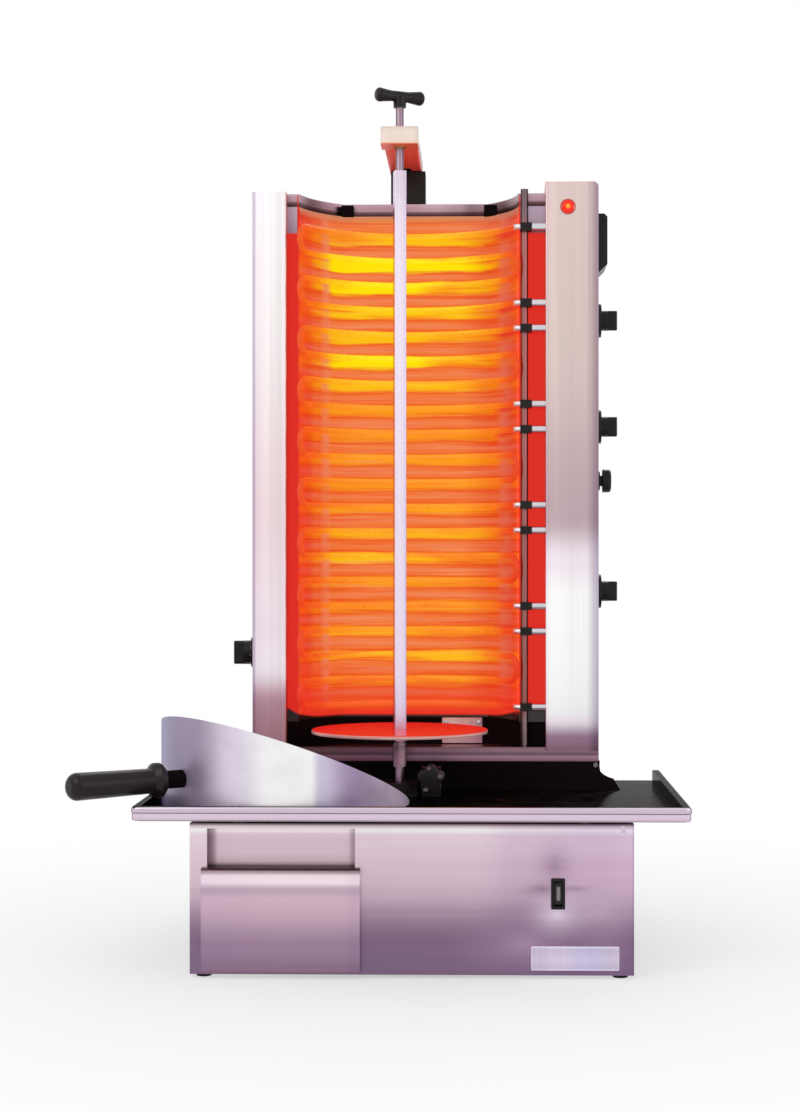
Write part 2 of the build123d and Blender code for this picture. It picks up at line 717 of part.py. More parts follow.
# Spit: a square bar with rounded edges, a turned foot and a bore in its top end.
foot_radius = 5.5
block_top = tray_floor + 17.6
neck_height = 18.4
cup_height = 30.0
cup_bottom = block_top + neck_height
cup_top = cup_bottom + cup_height
bar_bottom = cup_top + 2
with BuildPart() as spit_bar:
    with BuildSketch(Plane.XY.offset(bar_bottom)) as square:
        with Locations((spit_x, spit_y)):
            Rectangle(spit_square, spit_square, rotation=spit_turn)
        fillet(square.vertices(), 1.5)
    extrude(amount=spit_top - bar_bottom)
    round_about(spit_x, spit_y, cup_bottom + 4, bar_bottom, foot_radius)
    round_about(spit_x, spit_y, spit_top - bore_depth, spit_top, pin_radius + fit, Mode.SUBTRACT)
spit_bar.part.label = "spit_bar"

# Round meat plate with its welded hub.
with BuildPart() as meat_plate:
    round_about(spit_x, spit_y, plate_top - plate_thick, plate_top, plate_radius)
    fillet(meat_plate.edges().group_by(Axis.Z)[-1], 1.6)
    round_about(spit_x, spit_y, plate_top - plate_thick - 8, plate_top - plate_thick, 13)
    with BuildSketch(Plane.XY.offset(plate_top - plate_thick - 20)) as hole:
        with Locations((spit_x, spit_y)):
            Rectangle(spit_square + 0.3, spit_square + 0.3, rotation=spit_turn)
        fillet(hole.vertices(), 1.5)
    extrude(amount=40, mode=Mode.SUBTRACT)
meat_plate.part.label = "meat_plate"

# Drive spindle: a cup that takes the spit's foot, on a shaft into the gearbox.
shaft_radius = 5.5
gearbox_height = 58.0
gearbox_top = deck_bottom - 6
gearbox_bottom = gearbox_top - gearbox_height
with BuildPart() as drive_spindle:
    round_about(spit_x, spit_y, cup_bottom, cup_top, foot_radius + 2.7)
    round_about(spit_x, spit_y, cup_bottom + 4, cup_top, foot_radius + 0.02, Mode.SUBTRACT)
    round_about(spit_x, spit_y, gearbox_top - 29, cup_bottom, shaft_radius)
drive_spindle.part.label = "drive_spindle"

# Sliding foot block on the tray, with the clamp lug and the tube down through the slot.
block_radius = 32.0
clamp_x = spit_x + block_radius + 8.6
lug_left = spit_x + block_radius - 4
lug_right = clamp_x + 11.4
lug_front = spit_y - 24
lug_back = spit_y + 4
clamp_z = tray_floor + 25
stud_radius = 4.0
with BuildPart() as bearing_block:
    round_about(spit_x, spit_y, tray_floor + gap, block_top, block_radius)
    box_between(lug_left, lug_right, lug_front, lug_back, tray_floor + gap, clamp_z + 11)
    round_about(spit_x, spit_y, gearbox_top, tray_floor + gap, tube_out)
    round_about(spit_x, spit_y, gearbox_top - 5, block_top + 5, shaft_radius + fit, Mode.SUBTRACT)
    with Locations(Location((clamp_x, (lug_front + lug_back) / 2, clamp_z), (90, 0, 0))):
        Cylinder(stud_radius + fit, lug_back - lug_front + 2, mode=Mode.SUBTRACT)
bearing_block.part.label = "bearing_block"

with BuildPart() as gearbox_casing:
    box_between(spit_x - drive_half, spit_x + drive_half, spit_y - drive_half, spit_y + drive_half,
                gearbox_bottom, gearbox_top)
    fillet(gearbox_casing.edges().filter_by(Axis.Z), 6)
    round_about(spit_x, spit_y, gearbox_top - 30, gearbox_top, shaft_radius + fit, Mode.SUBTRACT)
gearbox_casing.part.label = "gearbox_casing"

with BuildPart() as motor_can:
    round_about(spit_x, spit_y, foot_height + sheet + 24, gearbox_bottom, drive_half - 8)
    fillet(motor_can.edges().group_by(Axis.Z)[0], 3)
motor_can.part.label = "motor_can"

# Five-lobed clamp knob in front of the lug, with its stud.
clamp_reach = 28.0
clamp_head = 14.0
knob_face = lug_front - clamp_reach
with BuildPart() as clamp_knob:
    with BuildSketch(Plane.XZ.offset(-(knob_face + clamp_head))) as star:
        with Locations((clamp_x, clamp_z)):
            Circle(13.5)
            with PolarLocations(11.6, 5, start_angle=90):
                Circle(6)
    extrude(amount=clamp_head)
    fillet(clamp_knob.faces().sort_by(Axis.Y)[0].edges(), 1.2)
    with Locations(Location((clamp_x, (knob_face + clamp_head + lug_front - gap) / 2, clamp_z), (90, 0, 0))):
        Cylinder(7, lug_front - gap - knob_face - clamp_head)
    with Locations(Location((clamp_x, (knob_face + clamp_head + lug_back) / 2, clamp_z), (90, 0, 0))):
        Cylinder(stud_radius, lug_back - knob_face - clamp_head)
clamp_knob.part.label = "clamp_knob"


# Side controls: turning knobs on shafts, their round plates and the switches behind the wall.
def side_plane(side, face, z):
    """Plane on a column's outer face, looking outwards."""
    return Plane(origin=(face, control_y, z), x_dir=(0, side, 0), z_dir=(side, 0, 0))


def side_knob(side, face, z, radius, reach, name):
    """Knob with a grip wing, standing just off its round plate."""
    with BuildPart() as knob:
        with BuildSketch(side_plane(side, face, z).offset(5 + gap)):
            Circle(radius)
        extrude(amount=9)
        with BuildSketch(side_plane(side, face, z).offset(14 + gap)) as wing:
            Rectangle(radius * 0.72, radius * 1.96)
            fillet(wing.vertices(), radius * 0.22)
        extrude(amount=reach - 14 - gap)
        outer = knob.faces().sort_by(Axis.X)[-1 if side > 0 else 0]
        fillet(outer.edges(), 1.2)
        with BuildSketch(side_plane(side, face, z).offset(5 + gap)):
            Circle(3)
        extrude(amount=-(5 + gap + sheet + 10))
    knob.part.label = name
    return knob.part


knobs = {}
for i, z in enumerate(knob_heights):
    name = f"zone_knob_{i + 1}"
    knobs[name] = side_knob(1, right_outer, z, knob_radius, knob_reach, name)
knobs["left_knob"] = side_knob(-1, left_outer, left_knob_z, left_knob_radius, left_knob_reach, "left_knob")

places = [(1, right_outer, z, 22.5) for z in knob_heights] + [(-1, left_outer, left_knob_z, 20.0)]
with BuildPart() as knob_plates:
    for side, face, z, radius in places:
        with BuildSketch(side_plane(side, face, z)):
            Circle(radius)
            Circle(4, mode=Mode.SUBTRACT)
        extrude(amount=5, taper=8)
    with BuildSketch(side_plane(1, right_outer, button_z)):
        Circle(12.5)
        Circle(7.4, mode=Mode.SUBTRACT)
    extrude(amount=3.4)
knob_plates.part.label = "knob_plates"

with BuildPart() as control_switches:
    for side, face, z, radius in places:
        with BuildSketch(side_plane(side, face, z).offset(-sheet)):
            Rectangle(26, 30)
            Circle(3 + fit, mode=Mode.SUBTRACT)
        extrude(amount=-12)
        with BuildSketch(side_plane(side, face, z).offset(-sheet - 12)):
            Rectangle(26, 30)
        extrude(amount=-10)
    with BuildSketch(side_plane(1, right_outer, button_z).offset(-sheet)):
        Rectangle(26, 30)
        Circle(7.4, mode=Mode.SUBTRACT)
    extrude(amount=-10)
    with BuildSketch(side_plane(1, right_outer, button_z).offset(-sheet - 10)):
        Rectangle(26, 30)
    extrude(amount=-12)
control_switches.part.label = "control_switches"

# Mushroom push button.
with BuildPart() as push_button:
    with BuildSketch(side_plane(1, right_outer, button_z).offset(-7.5)):
        Circle(7)
    extrude(amount=14.5)
    with BuildSketch(side_plane(1, right_outer, button_z).offset(7)):
        Circle(15)
    extrude(amount=11)
    fillet(push_button.faces().sort_by(Axis.X)[-1].edges(), 3.5)
push_button.part.label = "push_button"

# Black cover high on the right side, bevelled above and below, with louvre slots.
with BuildPart() as side_cover:
    with BuildSketch(Plane.XZ.offset(-control_y - 52)):
        with BuildLine():
            Polyline((right_outer, cover_low), (right_outer + cover_reach, cover_low + 12),
                     (right_outer + cover_reach, cover_high - 4), (right_outer + cover_reach - 4, cover_high),
                     (right_outer, cover_high), close=True)
        make_face()
    extrude(amount=80)
    box_between(right_outer, right_outer + cover_reach - 2.5, control_y - 25.5, control_y + 49.5,
                cover_low + 14, cover_high - 6.5, Mode.SUBTRACT)
    with BuildSketch(Plane(origin=(right_outer + cover_reach, control_y + 12, (cover_low + cover_high) / 2 + 4),
                           x_dir=(0, 1, 0), z_dir=(1, 0, 0))):
        with GridLocations(0, 9, 1, 5):
            SlotOverall(56, 3.6)
    extrude(amount=-2.5, mode=Mode.SUBTRACT)
side_cover.part.label = "side_cover"

# Pilot lamp on the front of the right column.
with BuildPart() as lamp_bezel:
    with BuildSketch(Plane.XZ.offset(-column_front)):
        with Locations((lamp_x, lamp_z)):
            Circle(lamp_radius + 1.9)
            Circle(lamp_radius + 0.3, mode=Mode.SUBTRACT)
    extrude(amount=2)
    chamfer(lamp_bezel.faces().sort_by(Axis.Y)[0].edges().sort_by(SortBy.LENGTH)[-1], 0.7)
lamp_bezel.part.label = "lamp_bezel"

with BuildPart() as lamp_lens:
    with BuildSketch(Plane.XZ.offset(-column_front - 12)):
        with Locations((lamp_x, lamp_z)):
            Circle(lamp_radius)
    extrude(amount=16.5)
    fillet(lamp_lens.faces().sort_by(Axis.Y)[0].edges(), 3.4)
lamp_lens.part.label = "lamp_lens"

# Inlet gland for a mains cord at the back.
with BuildPart() as cable_gland:
    gland_plane = Plane(origin=(gland_x, back_y, gland_z), x_dir=(-1, 0, 0), z_dir=(0, 1, 0))
    with BuildSketch(gland_plane):
        RegularPolygon(13, 6)
    extrude(amount=6)
    with BuildSketch(gland_plane.offset(6)):
        Circle(10)
    extrude(amount=14)
    fillet(cable_gland.faces().sort_by(Axis.Y)[-1].edges(), 2)
    with BuildSketch(gland_plane):
        Circle(gland_radius)
    extrude(amount=-10)
    with BuildSketch(gland_plane.offset(-10)):
        Circle(4.5)
    extrude(amount=30, mode=Mode.SUBTRACT)
cable_gland.part.label = "cable_gland"

# Round-headed screws: back panel edges and the plinth's front corners.
with BuildPart() as casing_screws:
    with BuildSketch(Plane(origin=(0, housing_back, 0), x_dir=(-1, 0, 0), z_dir=(0, 1, 0))):
        for x in (left_outer + 10, right_outer - 10):
            for z in (floor_top + 30, (floor_top + roof_top) / 2, roof_top - 20):
                with Locations((-x, z)):
                    Circle(4)
    extrude(amount=2.4)
    with BuildSketch(Plane.XZ.offset(-column_front)):
        for x in (left_outer + 4, right_outer - 4):
            with Locations((x, floor_bottom - 4.5)):
                Circle(3)
    extrude(amount=1.6)
casing_screws.part.label = "casing_screws"

# Scoop: a round pan cut by an oblique plane down to its floor on the spit's side.
scoop_floor = tray_floor + gap
mouth = Vector(cos(radians(scoop_mouth)), sin(radians(scoop_mouth)), 0)
scoop_axis = Vector(scoop_x, scoop_y, scoop_floor)
scoop_blank = (scoop_chord + scoop_radius) * scoop_slope + 20
with BuildPart() as scoop_pan:
    round_about(scoop_x, scoop_y, scoop_floor, scoop_floor + scoop_blank, scoop_radius)
    round_about(scoop_x, scoop_y, scoop_floor + scoop_wall, scoop_floor + scoop_blank + 1,
                scoop_radius - scoop_wall, Mode.SUBTRACT)
    rim = Plane(origin=scoop_axis + mouth * scoop_chord, x_dir=(-mouth.Y, mouth.X, 0),
                z_dir=(mouth.X * scoop_slope, mouth.Y * scoop_slope, 1))
    split(bisect_by=rim, keep=Keep.BOTTOM)
scoop_pan.part.label = "scoop_pan"

grip_plane = Plane(origin=scoop_axis - mouth * scoop_radius + Vector(0, 0, scoop_grip_z - scoop_floor),
                   x_dir=(0, 0, 1), z_dir=(-mouth.X, -mouth.Y, 0))
with BuildPart() as scoop_ferrule:
    with BuildSketch(grip_plane.offset(-0.5)):
        Circle(10.5)
    extrude(amount=28)
    round_about(scoop_x, scoop_y, scoop_floor, scoop_floor + scoop_blank, scoop_radius, Mode.SUBTRACT)
scoop_ferrule.part.label = "scoop_ferrule"

grip_length = scoop_reach - scoop_radius - 27.5
with BuildPart() as scoop_grip:
    with BuildSketch(Plane(origin=grip_plane.origin, x_dir=grip_plane.z_dir, z_dir=(mouth.Y, -mouth.X, 0))):
        with BuildLine():
            Line((27.5, 0), (27.5, 17))
            Line((27.5, 17), (31, 20.5))
            Line((31, 20.5), (37, 20.5))
            Line((37, 20.5), (43, 14.5))
            Line((43, 14.5), (27.5 + grip_length - 12, 15.8))
            ThreePointArc((27.5 + grip_length - 12, 15.8), (27.5 + grip_length - 3, 12.5),
                          (27.5 + grip_length, 5))
            Line((27.5 + grip_length, 5), (27.5 + grip_length, 0))
            Line((27.5 + grip_length, 0), (27.5, 0))
        make_face()
    revolve(axis=Axis(grip_plane.origin, grip_plane.z_dir))
scoop_grip.part.label = "scoop_grip"

pieces = [
    cabinet_shell.part, front_panel.part, bottom_plate.part, feet.part, deck_plate.part,
    catch_tray.part, recess_panel.part, drawer_box.part, drawer_front.part, drawer_runners.part,
    rocker_bezel.part, rocker_button.part, name_plate.part, plate_rivets.part, plinth.part,
    heater_floor.part, left_column.part, right_column.part, top_hood.part, reflector.part,
    lower_shroud.part, rear_panel.part, element_sleeves.part, support_rail.part, rail_clips.part,
    corner_clips.part, arm_post.part, top_arm.part, arm_head.part, upper_bush.part, lock_pin.part,
    t_handle.part, spit_bar.part, meat_plate.part, drive_spindle.part, bearing_block.part,
    gearbox_casing.part, motor_can.part, clamp_knob.part, knob_plates.part, control_switches.part,
    push_button.part, side_cover.part, lamp_bezel.part, lamp_lens.part, cable_gland.part,
    casing_screws.part, scoop_pan.part, scoop_ferrule.part, scoop_grip.part,
]
pieces += list(elements.values()) + list(knobs.values())
for piece in pieces:
    export_step(piece, f"parts/{piece.label}.step")
print(len(pieces), "pieces")
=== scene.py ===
from math import cos, pi, radians, sin

import bmesh
import bpy
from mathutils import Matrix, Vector


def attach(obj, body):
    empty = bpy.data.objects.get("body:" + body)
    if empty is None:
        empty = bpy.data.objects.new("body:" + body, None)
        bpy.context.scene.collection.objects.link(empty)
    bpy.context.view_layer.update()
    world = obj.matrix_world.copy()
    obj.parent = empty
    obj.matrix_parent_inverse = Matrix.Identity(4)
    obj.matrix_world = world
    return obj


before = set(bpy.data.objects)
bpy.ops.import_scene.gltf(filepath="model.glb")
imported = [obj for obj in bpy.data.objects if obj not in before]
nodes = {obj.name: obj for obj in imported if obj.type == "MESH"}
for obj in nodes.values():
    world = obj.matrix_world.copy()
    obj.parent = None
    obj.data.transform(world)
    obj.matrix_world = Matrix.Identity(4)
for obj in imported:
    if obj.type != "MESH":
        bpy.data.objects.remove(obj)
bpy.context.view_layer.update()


# Cabinet: one bent sheet makes the left, back and right walls, and a front panel is pushed in
# between its returns; a light panel stands back over the drawer. All are stainless sheet
# brushed level, with painted reflections bluer and darker near the worktop, and soft spots of
# painted shade and highlight, most of them round the switch.
def tint(r, g, b):
    """Colour given in screen values from 0 to 255."""
    shares = [c / 255 for c in (r, g, b)]
    return tuple(s / 12.92 if s <= 0.04 else ((s + 0.055) / 1.055) ** 2.4 for s in shares) + (1,)


def new_finish(name):
    mat = bpy.data.materials.new(name)
    mat.use_nodes = True
    return mat


def opened(mat):
    """Node tree and shader of a finish."""
    return mat.node_tree, mat.node_tree.nodes["Principled BSDF"]


def feed(shader, name, value):
    """Links a value to one socket of the shader."""
    shader.id_data.links.new(value, shader.inputs[name])


def coordinate(tree, kind="Object"):
    return tree.nodes.new("ShaderNodeTexCoord").outputs[kind]


def axes(tree):
    """Object coordinates split in X, Y and Z."""
    split = tree.nodes.new("ShaderNodeSeparateXYZ")
    tree.links.new(coordinate(tree), split.inputs["Vector"])
    return split.outputs


def grain(tree, scale, detail=3.0):
    """Noise with its own scale along each axis of the object, as from an abrasive belt."""
    stretch = tree.nodes.new("ShaderNodeMapping")
    stretch.inputs["Scale"].default_value = scale
    noise = tree.nodes.new("ShaderNodeTexNoise")
    noise.inputs["Scale"].default_value = 1.0
    noise.inputs["Detail"].default_value = detail
    tree.links.new(coordinate(tree), stretch.inputs["Vector"])
    tree.links.new(stretch.outputs["Vector"], noise.inputs["Vector"])
    return noise.outputs["Fac"]


def span(tree, value, low, high, to_low=0.0, to_high=1.0):
    """Maps a value from low..high to to_low..to_high, and stops at both ends."""
    node = tree.nodes.new("ShaderNodeMapRange")
    node.inputs["From Min"].default_value = low
    node.inputs["From Max"].default_value = high
    node.inputs["To Min"].default_value = to_low
    node.inputs["To Max"].default_value = to_high
    tree.links.new(value, node.inputs["Value"])
    return node.outputs["Result"]


def tones(tree, value, stops):
    """Colour that runs through (metres, screen colour) stops along one coordinate."""
    low, high = stops[0][0], stops[-1][0]
    ramp = tree.nodes.new("ShaderNodeValToRGB")
    band = ramp.color_ramp
    band.interpolation = "EASE"
    band.elements[0].position, band.elements[0].color = 0.0, tint(*stops[0][1])
    band.elements[1].position, band.elements[1].color = 1.0, tint(*stops[-1][1])
    for at, colour in stops[1:-1]:
        band.elements.new((at - low) / (high - low)).color = tint(*colour)
    tree.links.new(span(tree, value, low, high), ramp.inputs["Fac"])
    return ramp.outputs["Color"]


def mixed(tree, kind, factor, a, b):
    """Two colours mixed in the given way; each may be a socket, a colour or a number."""
    node = tree.nodes.new("ShaderNodeMix")
    node.data_type = "RGBA"
    node.blend_type = kind
    for socket, value in ((node.inputs[0], factor), (node.inputs[6], a), (node.inputs[7], b)):
        if isinstance(value, (int, float, tuple)):
            socket.default_value = value
        else:
            tree.links.new(value, socket)
    return node.outputs[2]


def over(tree, share, under, top):
    """One colour laid over another, as far as the share says."""
    return mixed(tree, "MIX", share, under, top)


def shaded(tree, colour, by):
    """A colour multiplied by another colour or a value."""
    return mixed(tree, "MULTIPLY", 1.0, colour, by)


def near(tree, centre, radius, squash=(1, 1, 1)):
    """1 at a point of the object, falling to 0 at the radius."""
    shift = tree.nodes.new("ShaderNodeMapping")
    shift.vector_type = "TEXTURE"
    shift.inputs["Location"].default_value = centre
    shift.inputs["Scale"].default_value = tuple(radius * s for s in squash)
    ball = tree.nodes.new("ShaderNodeTexGradient")
    ball.gradient_type = "QUADRATIC_SPHERE"
    tree.links.new(coordinate(tree), shift.inputs["Vector"])
    tree.links.new(shift.outputs["Vector"], ball.inputs["Vector"])
    return ball.outputs["Fac"]


def bumped(tree, shader, height, strength, depth):
    ridges = tree.nodes.new("ShaderNodeBump")
    ridges.inputs["Strength"].default_value = strength
    ridges.inputs["Distance"].default_value = depth
    tree.links.new(height, ridges.inputs["Height"])
    feed(shader, "Normal", ridges.outputs["Normal"])


def steel(name, belt, stops, axis="Z", across=(), spots=(), rough=0.34, bump=0.12, metal=1.0):
    """Brushed steel: tones along one axis, more tones across along X, and soft spots."""
    mat = new_finish(name)
    tree, shader = opened(mat)
    xyz = axes(tree)
    belt_lines = grain(tree, belt)
    colour = tones(tree, xyz[axis], stops)
    if across:
        colour = shaded(tree, colour, tones(tree, xyz["X"], across))
    for centre, radius, squash, shade, amount in spots:
        part = span(tree, near(tree, centre, radius, squash), 0, 1, 0, amount)
        colour = over(tree, part, colour, tint(*shade))
    streaks = span(tree, belt_lines, 0.2, 0.8, 0.92, 1.06)
    feed(shader, "Base Color", shaded(tree, colour, streaks))
    feed(shader, "Roughness", span(tree, belt_lines, 0.2, 0.8, rough - 0.05, rough + 0.07))
    bumped(tree, shader, belt_lines, bump, 0.0004)
    shader.inputs["Metallic"].default_value = metal
    return mat


def wear(mat, *names):
    """Gives pieces of the loaded model their finish."""
    for name in names:
        piece = nodes[name]
        if not piece.material_slots:
            piece.data.materials.append(mat)
        for part in piece.material_slots:
            part.material = mat


LEVEL, UPRIGHT = (2, 2, 170), (170, 170, 2)
PANEL_FACE = -0.235
# The spots on the front panel are painted shade and highlights, most of them round the switch.
# Each spot: centre, radius, squash along the axes, colour and strength.
panel_light_and_shade = [
    ((0.130, PANEL_FACE, 0.040), 0.100, (1, 1, 0.55), (176, 145, 174), 0.9),
    ((0.222, PANEL_FACE, 0.030), 0.060, (1, 1, 0.8), (160, 132, 164), 0.7),
    ((0.215, PANEL_FACE, 0.078), 0.085, (1, 1, 0.7), (222, 196, 214), 0.45),
    ((0.165, PANEL_FACE, 0.130), 0.040, (0.9, 1, 1.1), (148, 116, 148), 0.7),
    ((0.150, PANEL_FACE, 0.103), 0.026, (1.4, 1, 0.55), (122, 92, 114), 0.65),
    ((0.187, PANEL_FACE, 0.104), 0.022, (1.7, 1, 0.35), (144, 112, 138), 0.6),
    ((0.167, PANEL_FACE, 0.074), 0.050, (1, 1, 0.75), (232, 216, 234), 0.8),
    ((0.2436, PANEL_FACE, 0.1745), 0.0075, (0.25, 1, 1), (84, 66, 76), 0.95)]
# The front panel's tones are painted reflections, darker and bluer low down, with a painted
# highlight line and a painted shadow at its top edge under the tray; across, painted shade at its
# right edge.
cabinet_steel = steel(
    "cabinet_steel", LEVEL,
    [(0.004, (140, 115, 142)), (0.040, (140, 113, 140)), (0.125, (228, 202, 216)),
     (0.163, (239, 217, 229)), (0.1712, (255, 250, 252)), (0.1738, (232, 216, 222)),
     (0.178, (110, 92, 96))],
    across=[(-0.256, (246, 246, 246)), (-0.045, (240, 239, 240)), (0.070, (243, 242, 243)),
            (0.125, (230, 225, 233)), (0.215, (228, 220, 233)), (0.2535, (234, 226, 240)),
            (0.256, (190, 182, 200))],
    spots=panel_light_and_shade)
# The shell's tones are painted reflections as well, darker towards the worktop.
shell_steel = steel(
    "shell_steel", LEVEL,
    [(0.004, (146, 130, 146)), (0.060, (172, 156, 170)), (0.110, (204, 190, 200)),
     (0.178, (218, 206, 214))])
# Painted light in the recess: shadow low down above the drawer's lip and at both sides, highlight
# lines above that shadow and near the top, and shade at the very top.
recess_steel = steel(
    "recess_steel", LEVEL,
    [(0.116, (120, 100, 102)), (0.125, (176, 150, 160)), (0.1295, (244, 214, 222)),
     (0.136, (220, 194, 206)), (0.157, (218, 192, 206)), (0.163, (226, 202, 214)),
     (0.1665, (248, 232, 240)), (0.176, (176, 160, 172))],
    across=[(-0.238, (190, 182, 190)), (-0.232, (204, 196, 200)), (-0.2255, (255, 255, 255)),
            (-0.075, (255, 255, 255)), (-0.069, (214, 206, 212)), (-0.063, (190, 182, 190))])
wear(cabinet_steel, "front_panel")
wear(shell_steel, "cabinet_shell")
wear(recess_steel, "recess_panel")

# Bottom plate, deck and drawer runners: plain mill-finished sheet, folded and spot-welded
# inside the cabinet, where nobody sees it in use.
mill_sheet = steel("mill_sheet", (20, 20, 20), [(0.0, (150, 146, 150)), (0.2, (168, 163, 166))],
                   rough=0.45)
wear(mill_sheet, "bottom_plate", "deck_plate", "drawer_runners")


# Feet: pressed rubber pads under the bottom plate, one near each corner and one in the
# middle. Dull black with a dusty cast.
def moulded(name, colour=None, rough=0.4, texture=500.0, bump=0.15, shine=0.22):
    """Moulded or painted surface: fine texture, slightly uneven gloss, colour if it has one."""
    mat = new_finish(name)
    tree, shader = opened(mat)
    fine = grain(tree, (texture,) * 3, 2.0)
    broad = grain(tree, (28,) * 3)
    if colour:
        feed(shader, "Base Color",
             shaded(tree, tint(*colour), span(tree, broad, 0.3, 0.7, 0.85, 1.15)))
    feed(shader, "Roughness", span(tree, broad, 0.3, 0.7, rough - 0.06, rough + 0.08))
    bumped(tree, shader, fine, bump, 0.0003)
    shader.inputs["Specular IOR Level"].default_value = shine
    return mat


foot_rubber = moulded("foot_rubber", (30, 28, 30), 0.7)
wear(foot_rubber, "feet")

# Mains switch: a black glossy bezel snapped into the front panel, and the rocker in it,
# moulded in the same black, with a small grey strip painted down its middle as its highlight.
switch_black = moulded("switch_black", (24, 20, 22), 0.25)
wear(switch_black, "rocker_bezel")


def sums(tree, kind, a, b):
    """One arithmetic step between two values, each a socket or a number."""
    node = tree.nodes.new("ShaderNodeMath")
    node.operation = kind
    for socket, value in zip(node.inputs, (a, b)):
        if isinstance(value, (int, float)):
            socket.default_value = value
        else:
            tree.links.new(value, socket)
    return node.outputs["Value"]


def both(tree, a, b):
    """Share of the places where both hold."""
    return sums(tree, "MULTIPLY", a, b)


def off(tree, value, centre):
    """Distance of a coordinate from a centre."""
    return sums(tree, "ABSOLUTE", sums(tree, "SUBTRACT", value, centre), 0)


# Painted highlight: a pale grey strip down the middle of the rocker's face.
HIGHLIGHT_X, HIGHLIGHT_Z = 0.1691, 0.0984
rocker_face = moulded("rocker_face", rough=0.22)
tree, shader = opened(rocker_face)
xyz = axes(tree)
painted_highlight = both(tree, span(tree, off(tree, xyz["X"], HIGHLIGHT_X), 0.0025, 0.0015),
              span(tree, off(tree, xyz["Z"], HIGHLIGHT_Z), 0.0088, 0.0068))
feed(shader, "Base Color", over(tree, painted_highlight, tint(24, 20, 22), tint(136, 130, 130)))
wear(rocker_face, "rocker_button")

# Rating plate: bare bluish aluminium, with painted highlights along its edges. Four bright steel
# rivets hold it low on the right of the front panel.
plate_alloy = steel(
    "plate_alloy", (300, 4, 4),
    [(0.0098, (246, 236, 255)), (0.0122, (216, 204, 228)), (0.022, (226, 214, 236)),
     (0.0345, (214, 202, 226)), (0.0374, (252, 242, 255))],
    across=[(0.1377, (255, 255, 255)), (0.1402, (240, 240, 240)), (0.170, (250, 250, 250)),
            (0.205, (238, 240, 250)), (0.2365, (240, 240, 240)), (0.239, (255, 255, 255))],
    rough=0.4, bump=0.03)
bright_steel = steel("bright_steel", (60, 60, 60),
                     [(0.0, (205, 203, 208)), (1.0, (214, 211, 216))], rough=0.22, bump=0.02)
wear(plate_alloy, "name_plate")
wear(bright_steel, "plate_rivets")

# Drawer: an open box of mill-finished sheet that slides on the runners, behind a folded
# front of stainless sheet, brushed level, with a rounded top lip.
# The drawer front's tones are painted reflections, darker low down, with a painted highlight
# below the lip and painted shade along its top edge; across, a little painted shade at the left
# end.
drawer_steel = steel(
    "drawer_steel", LEVEL,
    [(0.008, (146, 118, 142)), (0.034, (160, 131, 156)), (0.088, (209, 180, 195)),
     (0.1035, (198, 171, 187)), (0.1125, (246, 227, 237)), (0.1185, (244, 226, 234)),
     (0.1235, (150, 128, 132)), (0.127, (96, 78, 80))],
    across=[(-0.247, (234, 230, 240)), (-0.238, (250, 249, 252)), (-0.150, (255, 255, 255)),
            (-0.080, (255, 255, 255)), (-0.066, (248, 247, 250))])
wear(drawer_steel, "drawer_front")
wear(mill_sheet, "drawer_box")

# Catch tray: one pressing of polished steel that lies on the deck's ribs. Its floor and inner
# walls are painted darker and its gloss tinted dark, a painted dark reflection, and two bright
# beads are rolled along its rim, with painted shade in the groove between them and at the foot
# of the lower one.
WELL_SIDE, WELL_FRONT, WELL_LEVEL = 0.3175, -0.2595, 0.1850
tray_steel = new_finish("tray_steel")
tree, shader = opened(tray_steel)
xyz = axes(tree)
wipes = grain(tree, (26, 60, 26), 4.0)
# The rim's tones hold painted shade in the groove between the beads and at the lower bead's foot.
bead = tones(tree, xyz["Z"],
             [(0.183, (186, 164, 178)), (0.186, (214, 195, 212)), (0.190, (220, 201, 219)),
              (0.1926, (214, 195, 211)), (0.1934, (200, 180, 198)), (0.1942, (206, 187, 204)),
              (0.197, (208, 190, 208)), (0.200, (218, 202, 216))])
within = both(tree, span(tree, off(tree, xyz["X"], 0), WELL_SIDE + 0.001, WELL_SIDE - 0.001),
              span(tree, xyz["Y"], WELL_FRONT - 0.001, WELL_FRONT + 0.001))
within = both(tree, within, span(tree, xyz["Z"], WELL_LEVEL - 0.0005, WELL_LEVEL + 0.0005))
# Inside the well the colour is painted darker, a painted dark reflection, in uneven streaks.
well_painted_dark = over(tree, span(tree, wipes, 0.35, 0.7), tint(140, 128, 134), tint(166, 152, 157))
feed(shader, "Base Color", over(tree, within, bead, well_painted_dark))
feed(shader, "Roughness", span(tree, wipes, 0.3, 0.75, 0.14, 0.24))
shader.inputs["Metallic"].default_value = 1.0
# The whole pressing's gloss is tinted dark: painted dark reflection.
shader.inputs["Specular Tint"].default_value = tint(44, 40, 44)
wear(tray_steel, "catch_tray")

# Plinth and the closing sheet under the reflector: folded steel sheet in heat-resistant
# black paint. The plinth lifts the heater off the tray, and its ends flare down to it.
black_paint = moulded("black_paint", (24, 18, 19), 0.6, shine=0.0)
wear(black_paint, "plinth", "lower_shroud")


# Junction cover on the black closing sheet, behind the spit: a small flat plate of bright
# steel with rounded edges. Two cross-head screws hold it at its top corners.
def cube(centre, size, turn=(0, 0, 0)):
    """Adds a block at its size and place, alone selected, to be shaped."""
    bpy.ops.object.select_all(action="DESELECT")
    bpy.ops.mesh.primitive_cube_add(size=1, location=centre, rotation=turn, scale=size)
    return bpy.context.object


